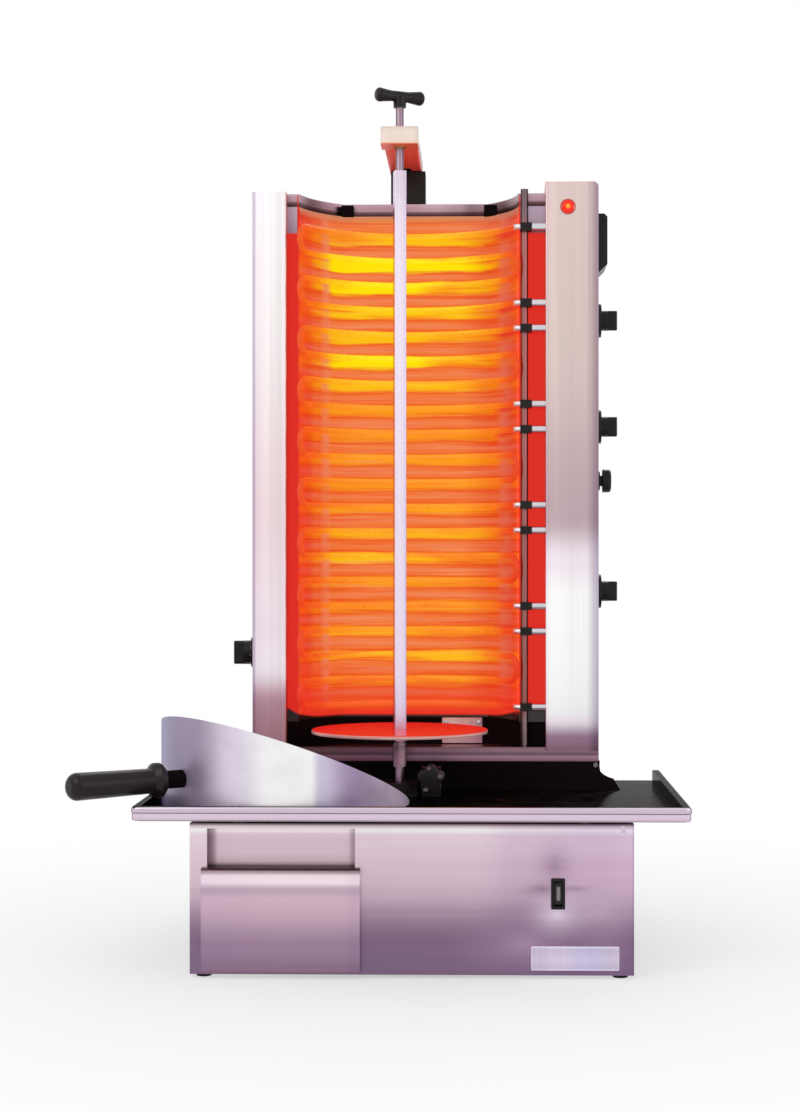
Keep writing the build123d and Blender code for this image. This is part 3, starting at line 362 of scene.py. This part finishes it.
def shaped(test, operator, **values):
    """Runs a mesh operator in edit mode on the faces of the active piece that pass the test."""
    bpy.ops.object.mode_set(mode="EDIT")
    mesh = bmesh.from_edit_mesh(bpy.context.object.data)
    for face in mesh.faces:
        face.select_set(test(face))
    mesh.select_flush_mode()
    bmesh.update_edit_mesh(bpy.context.object.data)
    operator(**values)
    bpy.ops.object.mode_set(mode="OBJECT")


def settled():
    """Puts the place, turn and size of what is selected in its mesh."""
    bpy.ops.object.transform_apply(location=True, rotation=True, scale=True)


def chosen(*parts):
    """Selects these parts alone, and makes the first one active."""
    bpy.ops.object.select_all(action="DESELECT")
    for part in parts:
        part.select_set(True)
    bpy.context.view_layer.objects.active = parts[0]


def joined(name, parts):
    """Like pieces that are fixed in one row, made one object."""
    chosen(*parts)
    bpy.ops.object.join()
    parts[0].name = name
    return parts[0]


def fitted(piece, mat, body):
    """Gives a new piece its finish, and the body that carries it."""
    piece.data.materials.clear()
    piece.data.materials.append(mat)
    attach(piece, body)


def screw(place, turn, radius, height):
    """Domed screw head with a cross cut in it, its axis along local Z before the turn."""
    bpy.ops.object.select_all(action="DESELECT")
    bpy.ops.mesh.primitive_cylinder_add(vertices=28, radius=radius, depth=height)
    head = bpy.context.object
    shaped(lambda face: face.normal.z > 0.9, bpy.ops.mesh.bevel, offset=height * 0.45, segments=4)
    slit = (radius * 1.15, radius * 0.26, height * 0.7)
    cutters = [cube((0, 0, height / 2), slit, (0, 0, angle)) for angle in (0.5, 0.5 + pi / 2)]
    chosen(head)
    for cutter in cutters:
        cut = head.modifiers.new("cross", "BOOLEAN")
        cut.operation = "DIFFERENCE"
        cut.object = cutter
        bpy.ops.object.modifier_apply(modifier=cut.name)
        bpy.data.objects.remove(cutter)
    head.rotation_euler = turn
    head.location = place
    settled()
    bpy.ops.object.shade_smooth_by_angle(angle=radians(35))
    return head


COVER_LOW, COVER_HIGH = (0.0285, 0.1532, 0.2372), (0.082, 0.1548, 0.2712)
SCREW_PLACES = (0.0335, 0.077)
# The cover is painted pale and warm with the heater's light, painted paler low down against the
# meat plate's shadow, and painted darker towards its right end: painted light.
cover_steel = steel(
    "cover_steel", (90, 90, 90),
    [(0.237, (255, 236, 240)), (0.250, (250, 224, 230)), (0.262, (255, 240, 234)),
     (0.272, (255, 226, 216))],
    across=[(0.0285, (246, 226, 222)), (0.040, (255, 252, 248)), (0.060, (252, 240, 240)),
            (0.082, (222, 204, 222))],
    rough=0.38, bump=0.02, metal=0.1)
cover = cube([(a + b) / 2 for a, b in zip(COVER_LOW, COVER_HIGH)],
             [b - a for a, b in zip(COVER_LOW, COVER_HIGH)])
cover.name = "junction_cover"
settled()
shaped(lambda face: True, bpy.ops.mesh.bevel, offset=0.0006, segments=3)
bpy.ops.object.shade_smooth_by_angle(angle=radians(40))
fitted(cover, cover_steel, "cabinet")
heads = [screw((x, 0.1527, 0.2655), (pi / 2, 0, 0), 0.0028, 0.0016) for x in SCREW_PLACES]
fitted(joined("cover_screws", heads), bright_steel, "cabinet")

# Heater floor: a pan folded from stainless sheet under both columns. Only its low front
# bead shows between the columns, mauve-red, with a painted highlight and painted shade along it,
# and painted darker towards the left.
pan_steel = steel(
    "pan_steel", LEVEL,
    [(0.223, (160, 116, 134)), (0.229, (196, 152, 174)), (0.232, (134, 104, 116)),
     (0.237, (174, 136, 150)), (0.241, (150, 116, 128))],
    across=[(-0.140, (176, 172, 168)), (-0.060, (204, 200, 200)), (0.010, (236, 234, 238)),
            (0.060, (255, 255, 255))])
wear(pan_steel, "heater_floor")

# Side columns: boxes folded from stainless sheet with an upright grain, their painted reflections
# pale above and mauve near the tray, with painted highlights and painted shade at the edges. Dull
# round-headed screws hold the rear panel to them, and the plinth's front corners.
# Across the left column: painted shade at its outer edge, the heater's red light painted on its
# inner edge.
left_steel = steel(
    "left_steel", UPRIGHT,
    [(0.236, (220, 176, 183)), (0.297, (217, 175, 188)), (0.340, (253, 244, 251)),
     (0.400, (241, 227, 235)), (0.540, (236, 216, 220)), (0.800, (244, 237, 237)),
     (0.957, (243, 239, 242))],
    across=[(-0.2144, (186, 176, 198)), (-0.2118, (214, 206, 220)), (-0.2092, (252, 250, 252)),
            (-0.195, (255, 255, 255)), (-0.178, (250, 250, 250)), (-0.1735, (255, 255, 255)),
            (-0.1706, (230, 180, 176))])
# Across the right column: painted shade towards its outer edge.
right_steel = steel(
    "right_steel", UPRIGHT,
    [(0.236, (158, 124, 136)), (0.2518, (168, 134, 160)), (0.278, (254, 246, 253)),
     (0.2865, (255, 255, 255)), (0.430, (255, 255, 255)), (0.480, (245, 234, 242)),
     (0.535, (196, 172, 178)), (0.760, (220, 200, 195)), (0.968, (225, 202, 198))],
    across=[(0.1633, (250, 244, 246)), (0.170, (255, 255, 255)), (0.2155, (250, 249, 250)),
            (0.2215, (232, 228, 232)), (0.2262, (206, 200, 210)), (0.2315, (176, 168, 186))])
dull_steel = steel("dull_steel", (60, 60, 60), [(0.0, (132, 120, 126)), (1.0, (140, 128, 134))],
                   rough=0.45, bump=0.02, metal=0.5)
wear(left_steel, "left_column")
wear(right_steel, "right_column")
wear(dull_steel, "casing_screws")

# Roof between the columns, and the rear panel: plain brushed sheet, warmed by the heat.
# The roof's front edge is folded down, and two black clips pin the lip at its ends.
# The roof's lip carries a painted shadow line between painted highlights, and the roof is darker
# across a short stretch right of the middle.
roof_steel = steel(
    "roof_steel", LEVEL,
    [(0.900, (170, 148, 160)), (0.9395, (196, 176, 190)), (0.9412, (74, 50, 50)),
     (0.9455, (118, 90, 94)), (0.948, (190, 160, 168)), (0.957, (206, 178, 188))],
    across=[(-0.170, (236, 228, 234)), (-0.060, (234, 222, 228)), (0.020, (255, 255, 255)),
            (0.050, (232, 226, 228)), (0.068, (186, 178, 180)), (0.100, (222, 214, 218)),
            (0.165, (236, 230, 236))])
rear_steel = steel("rear_steel", LEVEL, [(0.23, (176, 160, 168)), (0.96, (190, 172, 180))])
wear(roof_steel, "top_hood")
wear(rear_steel, "rear_panel")
wear(black_paint, "corner_clips")


# Reflector: polished sheet bent round the spit's back, with a flat strip to each column. The
# tubes' glow is painted on its front as reflection and light, brightest near the top; from behind
# it is bare sheet with a faint painted dark red glow.
def glow(shader, colour, strength):
    feed(shader, "Emission Color", colour)
    shader.inputs["Emission Strength"].default_value = strength


RUN_TOP, RUN_PITCH, RUNS_PER_TUBE = 0.9113, 0.0326, 4
# How yellow each run is, from the top one down, in tenths.
FIRE = (7, 10, 10, 8, 7, 10, 7, 3, 3, 4, 4, 4, 6, 7, 4, 4, 5, 7, 5, 2)


def fire(tree, xyz):
    """Share of yellow: each run has its own, less at both sides, and broken into patches."""
    levels = [(RUN_TOP - RUN_PITCH * k, (25.5 * share,) * 3) for k, share in enumerate(FIRE)]
    height = tones(tree, xyz["Z"], levels[::-1])
    side = both(tree, span(tree, off(tree, xyz["X"], -0.018), 0.130, 0.098),
                span(tree, xyz["Z"], 0.933, 0.925))
    patch = span(tree, grain(tree, (7, 0, 58), 1.5), 0.36, 0.52)
    return both(tree, both(tree, height, side), patch)


def from_leads(tree, xyz):
    """Height from the middle between two tubes, where their leads lie half a pitch away."""
    middle = RUN_TOP - RUN_PITCH * (len(FIRE) + RUNS_PER_TUBE - 0.5)
    return sums(tree, "PINGPONG", sums(tree, "SUBTRACT", xyz["Z"], middle),
                RUN_PITCH * RUNS_PER_TUBE / 2)


def vector(tree, kind, a, b):
    """One step between a vector and another one, which may be fixed."""
    node = tree.nodes.new("ShaderNodeVectorMath")
    node.operation = kind
    tree.links.new(a, node.inputs[0])
    if isinstance(b, tuple):
        node.inputs[1].default_value = b
    else:
        tree.links.new(b, node.inputs[1])
    return node.outputs["Value" if kind == "DOT_PRODUCT" else "Vector"]


REFLECTED_DROP = 0.003
CREASES = ((-0.126, 0.007), (0.112, 0.011))
HOLLOW_X, HOLLOW_HALF = -0.0175, 0.1125
HOLLOW_AXIS = (-0.004, -0.050, 0.600)
CORNER_LOW, CORNER_HIGH = 0.2745, 0.2925
mirror = new_finish("mirror_painted_glow")
tree, shader = opened(mirror)
xyz = axes(tree)
lowest = RUN_TOP - RUN_PITCH * len(FIRE) - REFLECTED_DROP
apart = sums(tree, "PINGPONG", sums(tree, "SUBTRACT", xyz["Z"], lowest), RUN_PITCH / 2)
streak = grain(tree, (7, 0, 120))
apart = sums(tree, "ADD", apart, span(tree, streak, 0.25, 0.75, -0.004, 0.004))
sheet = tones(tree, apart,
              [(0.0, (250, 152, 28)), (0.0055, (246, 136, 32)), (0.0085, (236, 98, 36)),
               (0.0115, (241, 118, 54)), (0.0163, (240, 132, 84))])
# Fine streaks of the polish, then the painted reflection of each run as a yellow band.
fine = grain(tree, (6, 0, 330), 2.0)
sheet = over(tree, span(tree, fine, 0.42, 0.27, 0.0, 0.8), sheet, tint(236, 58, 28))
sheet = over(tree, span(tree, fine, 0.58, 0.74, 0.0, 0.6), sheet, tint(244, 158, 108))
yellow = fire(tree, xyz)
rim = sums(tree, "SUBTRACT", apart, sums(tree, "MULTIPLY", yellow, 0.0065))
run_reflection = both(tree, yellow, span(tree, rim, 0.0042, 0.0006))
sheet = over(tree, run_reflection, sheet, tint(255, 232, 4))
# Painted highlights along the upright creases, where the sheet is bent, and a duller painted red
# beside each pair of leads.
blotch = grain(tree, (60, 0, 70), 2.0)
for line, half in CREASES:
    share = both(tree, span(tree, off(tree, xyz["X"], line), half, half * 0.3),
                 span(tree, blotch, 0.3, 0.6, 0.1, 0.75))
    sheet = over(tree, share, sheet, tint(238, 148, 104))
dull = both(tree, span(tree, off(tree, from_leads(tree, xyz), RUN_PITCH / 2), 0.0085, 0.0030),
            span(tree, xyz["X"], 0.094, 0.110))
sheet = over(tree, sums(tree, "MULTIPLY", dull, 0.75), sheet, tint(238, 52, 44))
# The painted glow is weaker at both sides, redder at the foot and browner along the top edge.
sheet = shaded(tree, sheet, tones(tree, xyz["X"], [
    (-0.165, (240, 90, 150)), (-0.1475, (241, 156, 190)), (-0.137, (247, 212, 222)),
    (-0.115, (254, 248, 246)), (-0.07, (255, 255, 255)), (0.05, (255, 255, 255)),
    (0.092, (246, 214, 222)), (0.131, (226, 150, 190))]))
sheet = over(tree, span(tree, xyz["Z"], 0.345, 0.276), sheet, tint(233, 50, 34))
sheet = over(tree, span(tree, xyz["Z"], 0.9295, 0.9400, 0.0, 0.85), sheet, tint(196, 132, 108))
# The flat strips are painted plain red with the heater's light, with a painted brown shade line
# low on the fold beside them.
strip = span(tree, xyz["Y"], 0.080, 0.0735)
sheet = over(tree, strip, sheet, tint(218, 36, 34))
fold = both(tree, span(tree, off(tree, xyz["Y"], 0.0772), 0.0026, 0.0010),
            span(tree, xyz["Z"], 0.46, 0.38))
sheet = over(tree, sums(tree, "MULTIPLY", fold, 0.7), sheet, tint(150, 92, 44))
# Its lower corners are rounded off by the black closing sheet.
outer = sums(tree, "SUBTRACT", off(tree, xyz["X"], HOLLOW_X), HOLLOW_HALF)
corner = sums(tree, "POWER", sums(tree, "MAXIMUM", outer, 0.0), 2.0)
corner = sums(tree, "ADD", sums(tree, "MULTIPLY", corner, 9.0), CORNER_LOW)
rise = sums(tree, "MINIMUM", corner, CORNER_HIGH)
above = span(tree, sums(tree, "SUBTRACT", xyz["Z"], rise), -0.0008, 0.0022)
# Level direction from the hollow's axis, against the face: below 0 on the inner side.
outward = vector(tree, "MULTIPLY", vector(tree, "SUBTRACT", coordinate(tree), HOLLOW_AXIS),
                 (1, 1, 0))
facing = vector(tree, "DOT_PRODUCT", outward, coordinate(tree, "Normal"))
# On the outer side the painted glow drops to a faint dark red.
sheet = over(tree, span(tree, facing, 0.004, -0.004), tint(60, 22, 14), sheet)
glow(shader, over(tree, above, tint(16, 8, 7), sheet), 0.94)
feed(shader, "Base Color", over(tree, above, tint(24, 18, 18), tint(74, 34, 18)))
feed(shader, "Metallic", above)
feed(shader, "Roughness", span(tree, streak, 0.2, 0.8, 0.16, 0.3))
wear(mirror, "reflector")

# Heating elements: five steel tubes bent in four runs each, orange hot and brightest near
# the top. Their ends stay cold: plain bright steel from the last bend, then a bright sleeve
# from the rail to the column.
sheath = new_finish("glowing_sheath")
tree, shader = opened(sheath)
xyz = axes(tree)
heat = tones(tree, xyz["Z"],
             [(0.28, (242, 84, 36)), (0.36, (248, 128, 34)), (0.60, (249, 142, 32)),
              (0.76, (251, 156, 24)), (0.89, (252, 164, 18)), (0.915, (249, 150, 34))])
heat = over(tree, fire(tree, xyz), heat, tint(255, 236, 4))
scale = grain(tree, (260,) * 3)
heat = shaded(tree, heat, span(tree, scale, 0.3, 0.7, 0.88, 1.06))
heat = shaded(tree, heat, tones(tree, xyz["X"], [
    (-0.156, (234, 122, 190)), (-0.138, (241, 166, 204)), (-0.110, (251, 232, 232)),
    (-0.06, (255, 255, 255)), (0.05, (255, 255, 255)), (0.095, (246, 206, 215)),
    (0.122, (232, 120, 190))]))
cold = both(tree, span(tree, xyz["X"], 0.1215, 0.1235),
            span(tree, from_leads(tree, xyz), 0.036, 0.030))
# The cold ends keep a faint painted warm glow.
glow(shader, over(tree, cold, heat, tint(70, 50, 50)), 0.97)
feed(shader, "Base Color", over(tree, cold, tint(100, 46, 28), tint(214, 204, 206)))
feed(shader, "Metallic", cold)
shader.inputs["Roughness"].default_value = 0.4
shader.inputs["Specular IOR Level"].default_value = 0.15
bumped(tree, shader, scale, 0.2, 0.0003)
wear(sheath, *(f"heating_element_{k}" for k in range(1, 6)))
wear(bright_steel, "element_sleeves")

# Support rail and its clips: a drawn tube reddened by the glow stands beside the right
# column, and dark cast clips on it hold the cold ends of the elements.
# The rail's red is the heater's light painted on, with a painted highlight down it, painted shade
# at its edges, and darker at both ends.
rail_steel = steel(
    "rail_steel", UPRIGHT,
    [(0.236, (128, 112, 116)), (0.268, (140, 120, 122)), (0.30, (150, 100, 96)),
     (0.90, (166, 104, 104)), (0.93, (120, 100, 104)), (0.96, (112, 94, 100))],
    across=[(0.1316, (150, 140, 140)), (0.1345, (255, 255, 255)), (0.1375, (250, 250, 250)),
            (0.1412, (140, 130, 134))],
    rough=0.3, bump=0.02)
cast_black = moulded("cast_black", (26, 20, 20), 0.42, texture=260.0, bump=0.3)
wear(rail_steel, "support_rail")
wear(cast_black, "rail_clips")

# Spit: a drawn square bar, nearly white, with a round meat plate welded to a hub near its
# foot. The plate is turned steel, lit red by the heater.
# The bar carries a painted highlight down its middle and painted shade at its edges, and a
# painted reflection makes it darker at its foot by the meat plate.
spit_steel = steel(
    "spit_steel", UPRIGHT,
    [(0.250, (150, 108, 120)), (0.262, (176, 140, 150)), (0.272, (222, 204, 226)),
     (0.35, (238, 222, 240)), (0.90, (240, 226, 240)), (0.97, (226, 212, 224))],
    across=[(-0.0306, (218, 212, 226)), (-0.0275, (252, 250, 252)), (-0.022, (255, 255, 255)),
            (-0.0165, (250, 248, 250)), (-0.0134, (214, 208, 222))],
    rough=0.24, bump=0.05)
# The plate's red top is the heater's light painted on, its gloss tinted red; a painted highlight
# runs round its rim, with painted shade below.
plate_steel = steel(
    "plate_steel", (90, 90, 90),
    [(0.256, (110, 84, 86)), (0.2648, (176, 136, 136)), (0.2668, (236, 186, 178)),
     (0.2682, (232, 150, 140)), (0.2689, (250, 30, 44))],
    rough=0.2, bump=0.02, metal=0.2)
shader = opened(plate_steel)[1]
shader.inputs["Specular Tint"].default_value = tint(255, 96, 112)
shader.inputs["Specular IOR Level"].default_value = 0.1
wear(spit_steel, "spit_bar")
wear(plate_steel, "meat_plate")

# Spit drive: a turned steel cup takes the spit's foot, on a shaft through a black cast
# block that slides on the tray. An alloy gearbox and a painted motor hang under the deck.
turned_steel = steel(
    "turned_steel", (60, 60, 60),
    [(0.15, (180, 150, 158)), (0.214, (206, 176, 194)), (0.226, (190, 154, 168)),
     (0.238, (184, 142, 156)), (0.247, (146, 116, 124)), (0.252, (166, 138, 146))],
    bump=0.01)
gearbox_alloy = moulded("gearbox_alloy", (168, 168, 170), 0.45, texture=320.0, bump=0.3)
opened(gearbox_alloy)[1].inputs["Metallic"].default_value = 0.9
motor_paint = moulded("motor_paint", (70, 70, 76), 0.42)
wear(turned_steel, "drive_spindle")
wear(cast_black, "bearing_block")
wear(gearbox_alloy, "gearbox_casing")
wear(motor_paint, "motor_can")

# Clamp knob: a five-lobed knob of glossy black phenolic, screwed through the lug of the
# foot block, with pale painted glints on three of its lobes.
LOBES_Y = -0.060
# Pale painted glints on three lobes: across, height and radius of each.
PAINTED_GLINTS = ((0.0158, 0.2246, 0.0052), (0.0300, 0.2150, 0.0070), (0.0120, 0.1975, 0.0070))
star_black = moulded("star_black", rough=0.2, bump=0.03, shine=0.4)
tree, shader = opened(star_black)
colour = tint(20, 16, 17)
for x, z, radius in PAINTED_GLINTS:
    glint = span(tree, near(tree, (x, LOBES_Y, z), radius, (1, 8, 1)), 0.1, 0.9, 0, 0.6)
    colour = over(tree, glint, colour, tint(188, 172, 182))
feed(shader, "Base Color", colour)
wear(star_black, "clamp_knob")

# Top arm: hollow steel tube guided by the head of a black cast post on the roof, the heater's
# red light painted on its underside. At its front end a cast block in cream enamel, with the
# same red light painted along its foot, holds a turned brass bush.
arm_steel = steel(
    "arm_steel", (170, 2, 170),
    [(1.0018, (236, 78, 68)), (1.0036, (226, 88, 76)), (1.0060, (178, 150, 158)),
     (1.024, (206, 190, 198))],
    rough=0.45, metal=0.25)
enamel = moulded("head_enamel", rough=0.32)
tree, shader = opened(enamel)
cream_and_red_light = tones(tree, axes(tree)["Z"],
              [(1.0018, (240, 86, 72)), (1.0022, (240, 104, 82)), (1.0027, (253, 206, 176)),
               (1.0055, (254, 232, 218)), (1.015, (253, 236, 227)), (1.0205, (248, 228, 214)),
               (1.0236, (234, 212, 200))])
uneven = span(tree, grain(tree, (60,) * 3), 0.3, 0.7, 0.95, 1.04)
feed(shader, "Base Color", shaded(tree, cream_and_red_light, uneven))
brass = steel("bush_brass", (20, 20, 300), [(0.99, (196, 150, 84)), (1.03, (214, 172, 104))],
              rough=0.28)
wear(cast_black, "arm_post")
wear(arm_steel, "top_arm")
wear(enamel, "arm_head")
wear(brass, "upper_bush")

# Lock pin: a turned steel rod that drops through the bush into the top of the spit. Its
# cross handle is a black phenolic moulding.
# A painted highlight runs down the pin, with painted shade at its edges.
pin_steel = steel(
    "pin_steel", (60, 60, 60),
    [(0.949, (176, 156, 170)), (1.000, (162, 138, 148)), (1.010, (168, 146, 156)),
     (1.057, (154, 132, 144))],
    across=[(-0.027, (170, 160, 178)), (-0.0245, (255, 255, 255)), (-0.0212, (240, 236, 240)),
            (-0.019, (214, 206, 218)), (-0.017, (140, 130, 150))],
    rough=0.3, bump=0.01)
handle_black = moulded("handle_black", (28, 20, 23), 0.34)
wear(pin_steel, "lock_pin")
wear(handle_black, "t_handle")

# Side controls: dials on round plates with their switches behind the wall, the mushroom
# button and the bevelled side cover, all black phenolic, and the inlet gland at the back.
phenolic = moulded("phenolic", (22, 18, 19), 0.36)
wear(phenolic, "zone_knob_1", "zone_knob_2", "zone_knob_3", "left_knob", "knob_plates",
     "control_switches", "side_cover", "cable_gland", "push_button")

# Scales: white ticks printed round each dial, long and short in turn. They are fine bars,
# slightly raised on the face of the round plates.
RIGHT_FACE, LEFT_FACE = 0.2365, -0.2194
DIALS = ((0.7936, 1), (0.6553, 1), (0.4412, 1), (0.3610, -1))
DIAL_Y, TICK_CIRCLE = 0.090, 0.0190
TICK_COUNT, FIRST_ANGLE, ANGLE_STEP = 9, -132, 33
TICK_THICK, TICK_WIDE, TICK_LONG, TICK_SHORT = 0.0004, 0.0007, 0.0042, 0.0028
white_print = moulded("white_print", (226, 224, 220), 0.5, shine=0.3)
ticks = []
for height, way in DIALS:
    face_x = RIGHT_FACE if way > 0 else LEFT_FACE
    for step in range(TICK_COUNT):
        angle = radians(FIRST_ANGLE + ANGLE_STEP * step)
        spot = (face_x + way * 0.0001, DIAL_Y + sin(angle) * TICK_CIRCLE,
                height + cos(angle) * TICK_CIRCLE)
        length = TICK_SHORT if step % 2 else TICK_LONG
        ticks.append(cube(spot, (TICK_THICK, TICK_WIDE, length), (-angle, 0, 0)))
        settled()
        shaped(lambda face: face.normal.x * way > 0.9, bpy.ops.mesh.inset,
               thickness=0.0001, depth=0.00005)
fitted(joined("dial_ticks", ticks), white_print, "cabinet")

# Pilot lamp: red lens, lit from behind with an amber core, in a thin bezel of the same red
# pushed into the front of the right column.
LAMP_CORE = (0.192, 0.046, 0.936)
lens = moulded("lamp_lens", (190, 34, 24), 0.18, bump=0.05)
tree, shader = opened(lens)
core = span(tree, near(tree, LAMP_CORE, 0.0085, (1, 2, 1)), 0.25, 0.8)
glow(shader, over(tree, core, tint(218, 34, 26), tint(255, 196, 40)), 0.85)
bezel_red = moulded("bezel_red", (206, 92, 78), 0.3)
wear(lens, "lamp_lens")
wear(bezel_red, "lamp_bezel")

# Scoop: round pan of polished sheet, cut down to its floor on the spit's side; broad bands of
# painted reflection run round its wall. A painted ferrule holds a black phenolic grip.
scoop_steel = steel(
    "scoop_steel", (40, 40, 40),
    [(-0.307, (112, 108, 164)), (-0.292, (152, 141, 172)), (-0.252, (165, 150, 175)),
     (-0.203, (230, 219, 236)), (-0.160, (255, 254, 255)), (-0.116, (255, 255, 253)),
     (-0.104, (214, 205, 230)), (-0.070, (174, 151, 187)), (-0.012, (232, 214, 236))],
    axis="X", rough=0.36, bump=0.03, metal=0.3)
wear(scoop_steel, "scoop_pan")
wear(black_paint, "scoop_ferrule")
wear(handle_black, "scoop_grip")


# Worktop and light: a pale floor that keeps a soft shadow and fades to white, a white
# surround, one large lamp high on the left, a weaker one on the right and one behind.
def seen(tree):
    """1 where the surface is looked at, straight, in a gloss or through glass."""
    paths = tree.nodes.new("ShaderNodeLightPath").outputs
    straight = sums(tree, "MAXIMUM", paths["Is Camera Ray"], paths["Is Glossy Ray"])
    return sums(tree, "MAXIMUM", straight, paths["Is Transmission Ray"])


def softbox(name, location, aim, size, power):
    data = bpy.data.lights.new(name, "AREA")
    data.shape = "RECTANGLE"
    data.size, data.size_y = size
    data.energy = power
    lamp = bpy.data.objects.new(name, data)
    bpy.context.collection.objects.link(lamp)
    lamp.location = location
    lamp.rotation_euler = (Vector(aim) - Vector(location)).to_track_quat("-Z", "Y").to_euler()


FLOOR_RADIUS, FADE_RADIUS = 9, 1.3
floor_mat = new_finish("pale_floor")
tree, shader = opened(floor_mat)
shader.inputs["Base Color"].default_value = tint(236, 236, 236)
shader.inputs["Roughness"].default_value = 0.9
fade = span(tree, near(tree, (0, 0, 0), FADE_RADIUS), 0.0, 0.75, 1.0, 0.45)
white = tree.nodes.new("ShaderNodeEmission")
blend = tree.nodes.new("ShaderNodeMixShader")
tree.links.new(both(tree, seen(tree), fade), blend.inputs["Fac"])
tree.links.new(shader.outputs["BSDF"], blend.inputs[1])
tree.links.new(white.outputs["Emission"], blend.inputs[2])
tree.links.new(blend.outputs["Shader"], tree.nodes["Material Output"].inputs["Surface"])
bpy.ops.mesh.primitive_circle_add(vertices=96, radius=FLOOR_RADIUS, fill_type="NGON",
                                  location=(0, 0, 0))
worktop = bpy.context.object
worktop.name = "worktop"
worktop.data.materials.append(floor_mat)

world = bpy.data.worlds.new("surround")
bpy.context.scene.world = world
world.use_nodes = True
tree = world.node_tree
back = tree.nodes["Background"]
back.inputs["Color"].default_value = (1, 1, 1, 1)
feed(back, "Strength", span(tree, seen(tree), 0, 1, 0.6, 1.0))
softbox("key_lamp", (-1.7, -2.1, 2.4), (0, 0, 0.4), (1.8, 1.4), 26)
softbox("fill_lamp", (2.3, -1.6, 1.2), (0, 0, 0.5), (1.4, 1.4), 10)
softbox("back_lamp", (0.6, 2.4, 2.2), (0, 0, 0.4), (1.8, 1.2), 18)
bpy.context.scene.view_settings.view_transform = "Standard"

# Camera level with the middle of the heater, a little to the right of the spit. Its lens
# and shift are given in pixels of a frame 1113 high.
FRAME_HEIGHT, FOCAL, SHIFT_X, SHIFT_Y, SENSOR = 1113, 2100, -36, 3.5, 36
eye = bpy.data.objects.new("eye", bpy.data.cameras.new("eye"))
bpy.context.collection.objects.link(eye)
eye.data.lens = FOCAL / FRAME_HEIGHT * SENSOR
eye.data.sensor_width = SENSOR
eye.data.shift_x = SHIFT_X / FRAME_HEIGHT
eye.data.shift_y = SHIFT_Y / FRAME_HEIGHT
eye.location = (0.079, -2.652, 0.4817)
eye.rotation_euler = (pi / 2, 0, radians(1.2))
bpy.context.scene.camera = eye
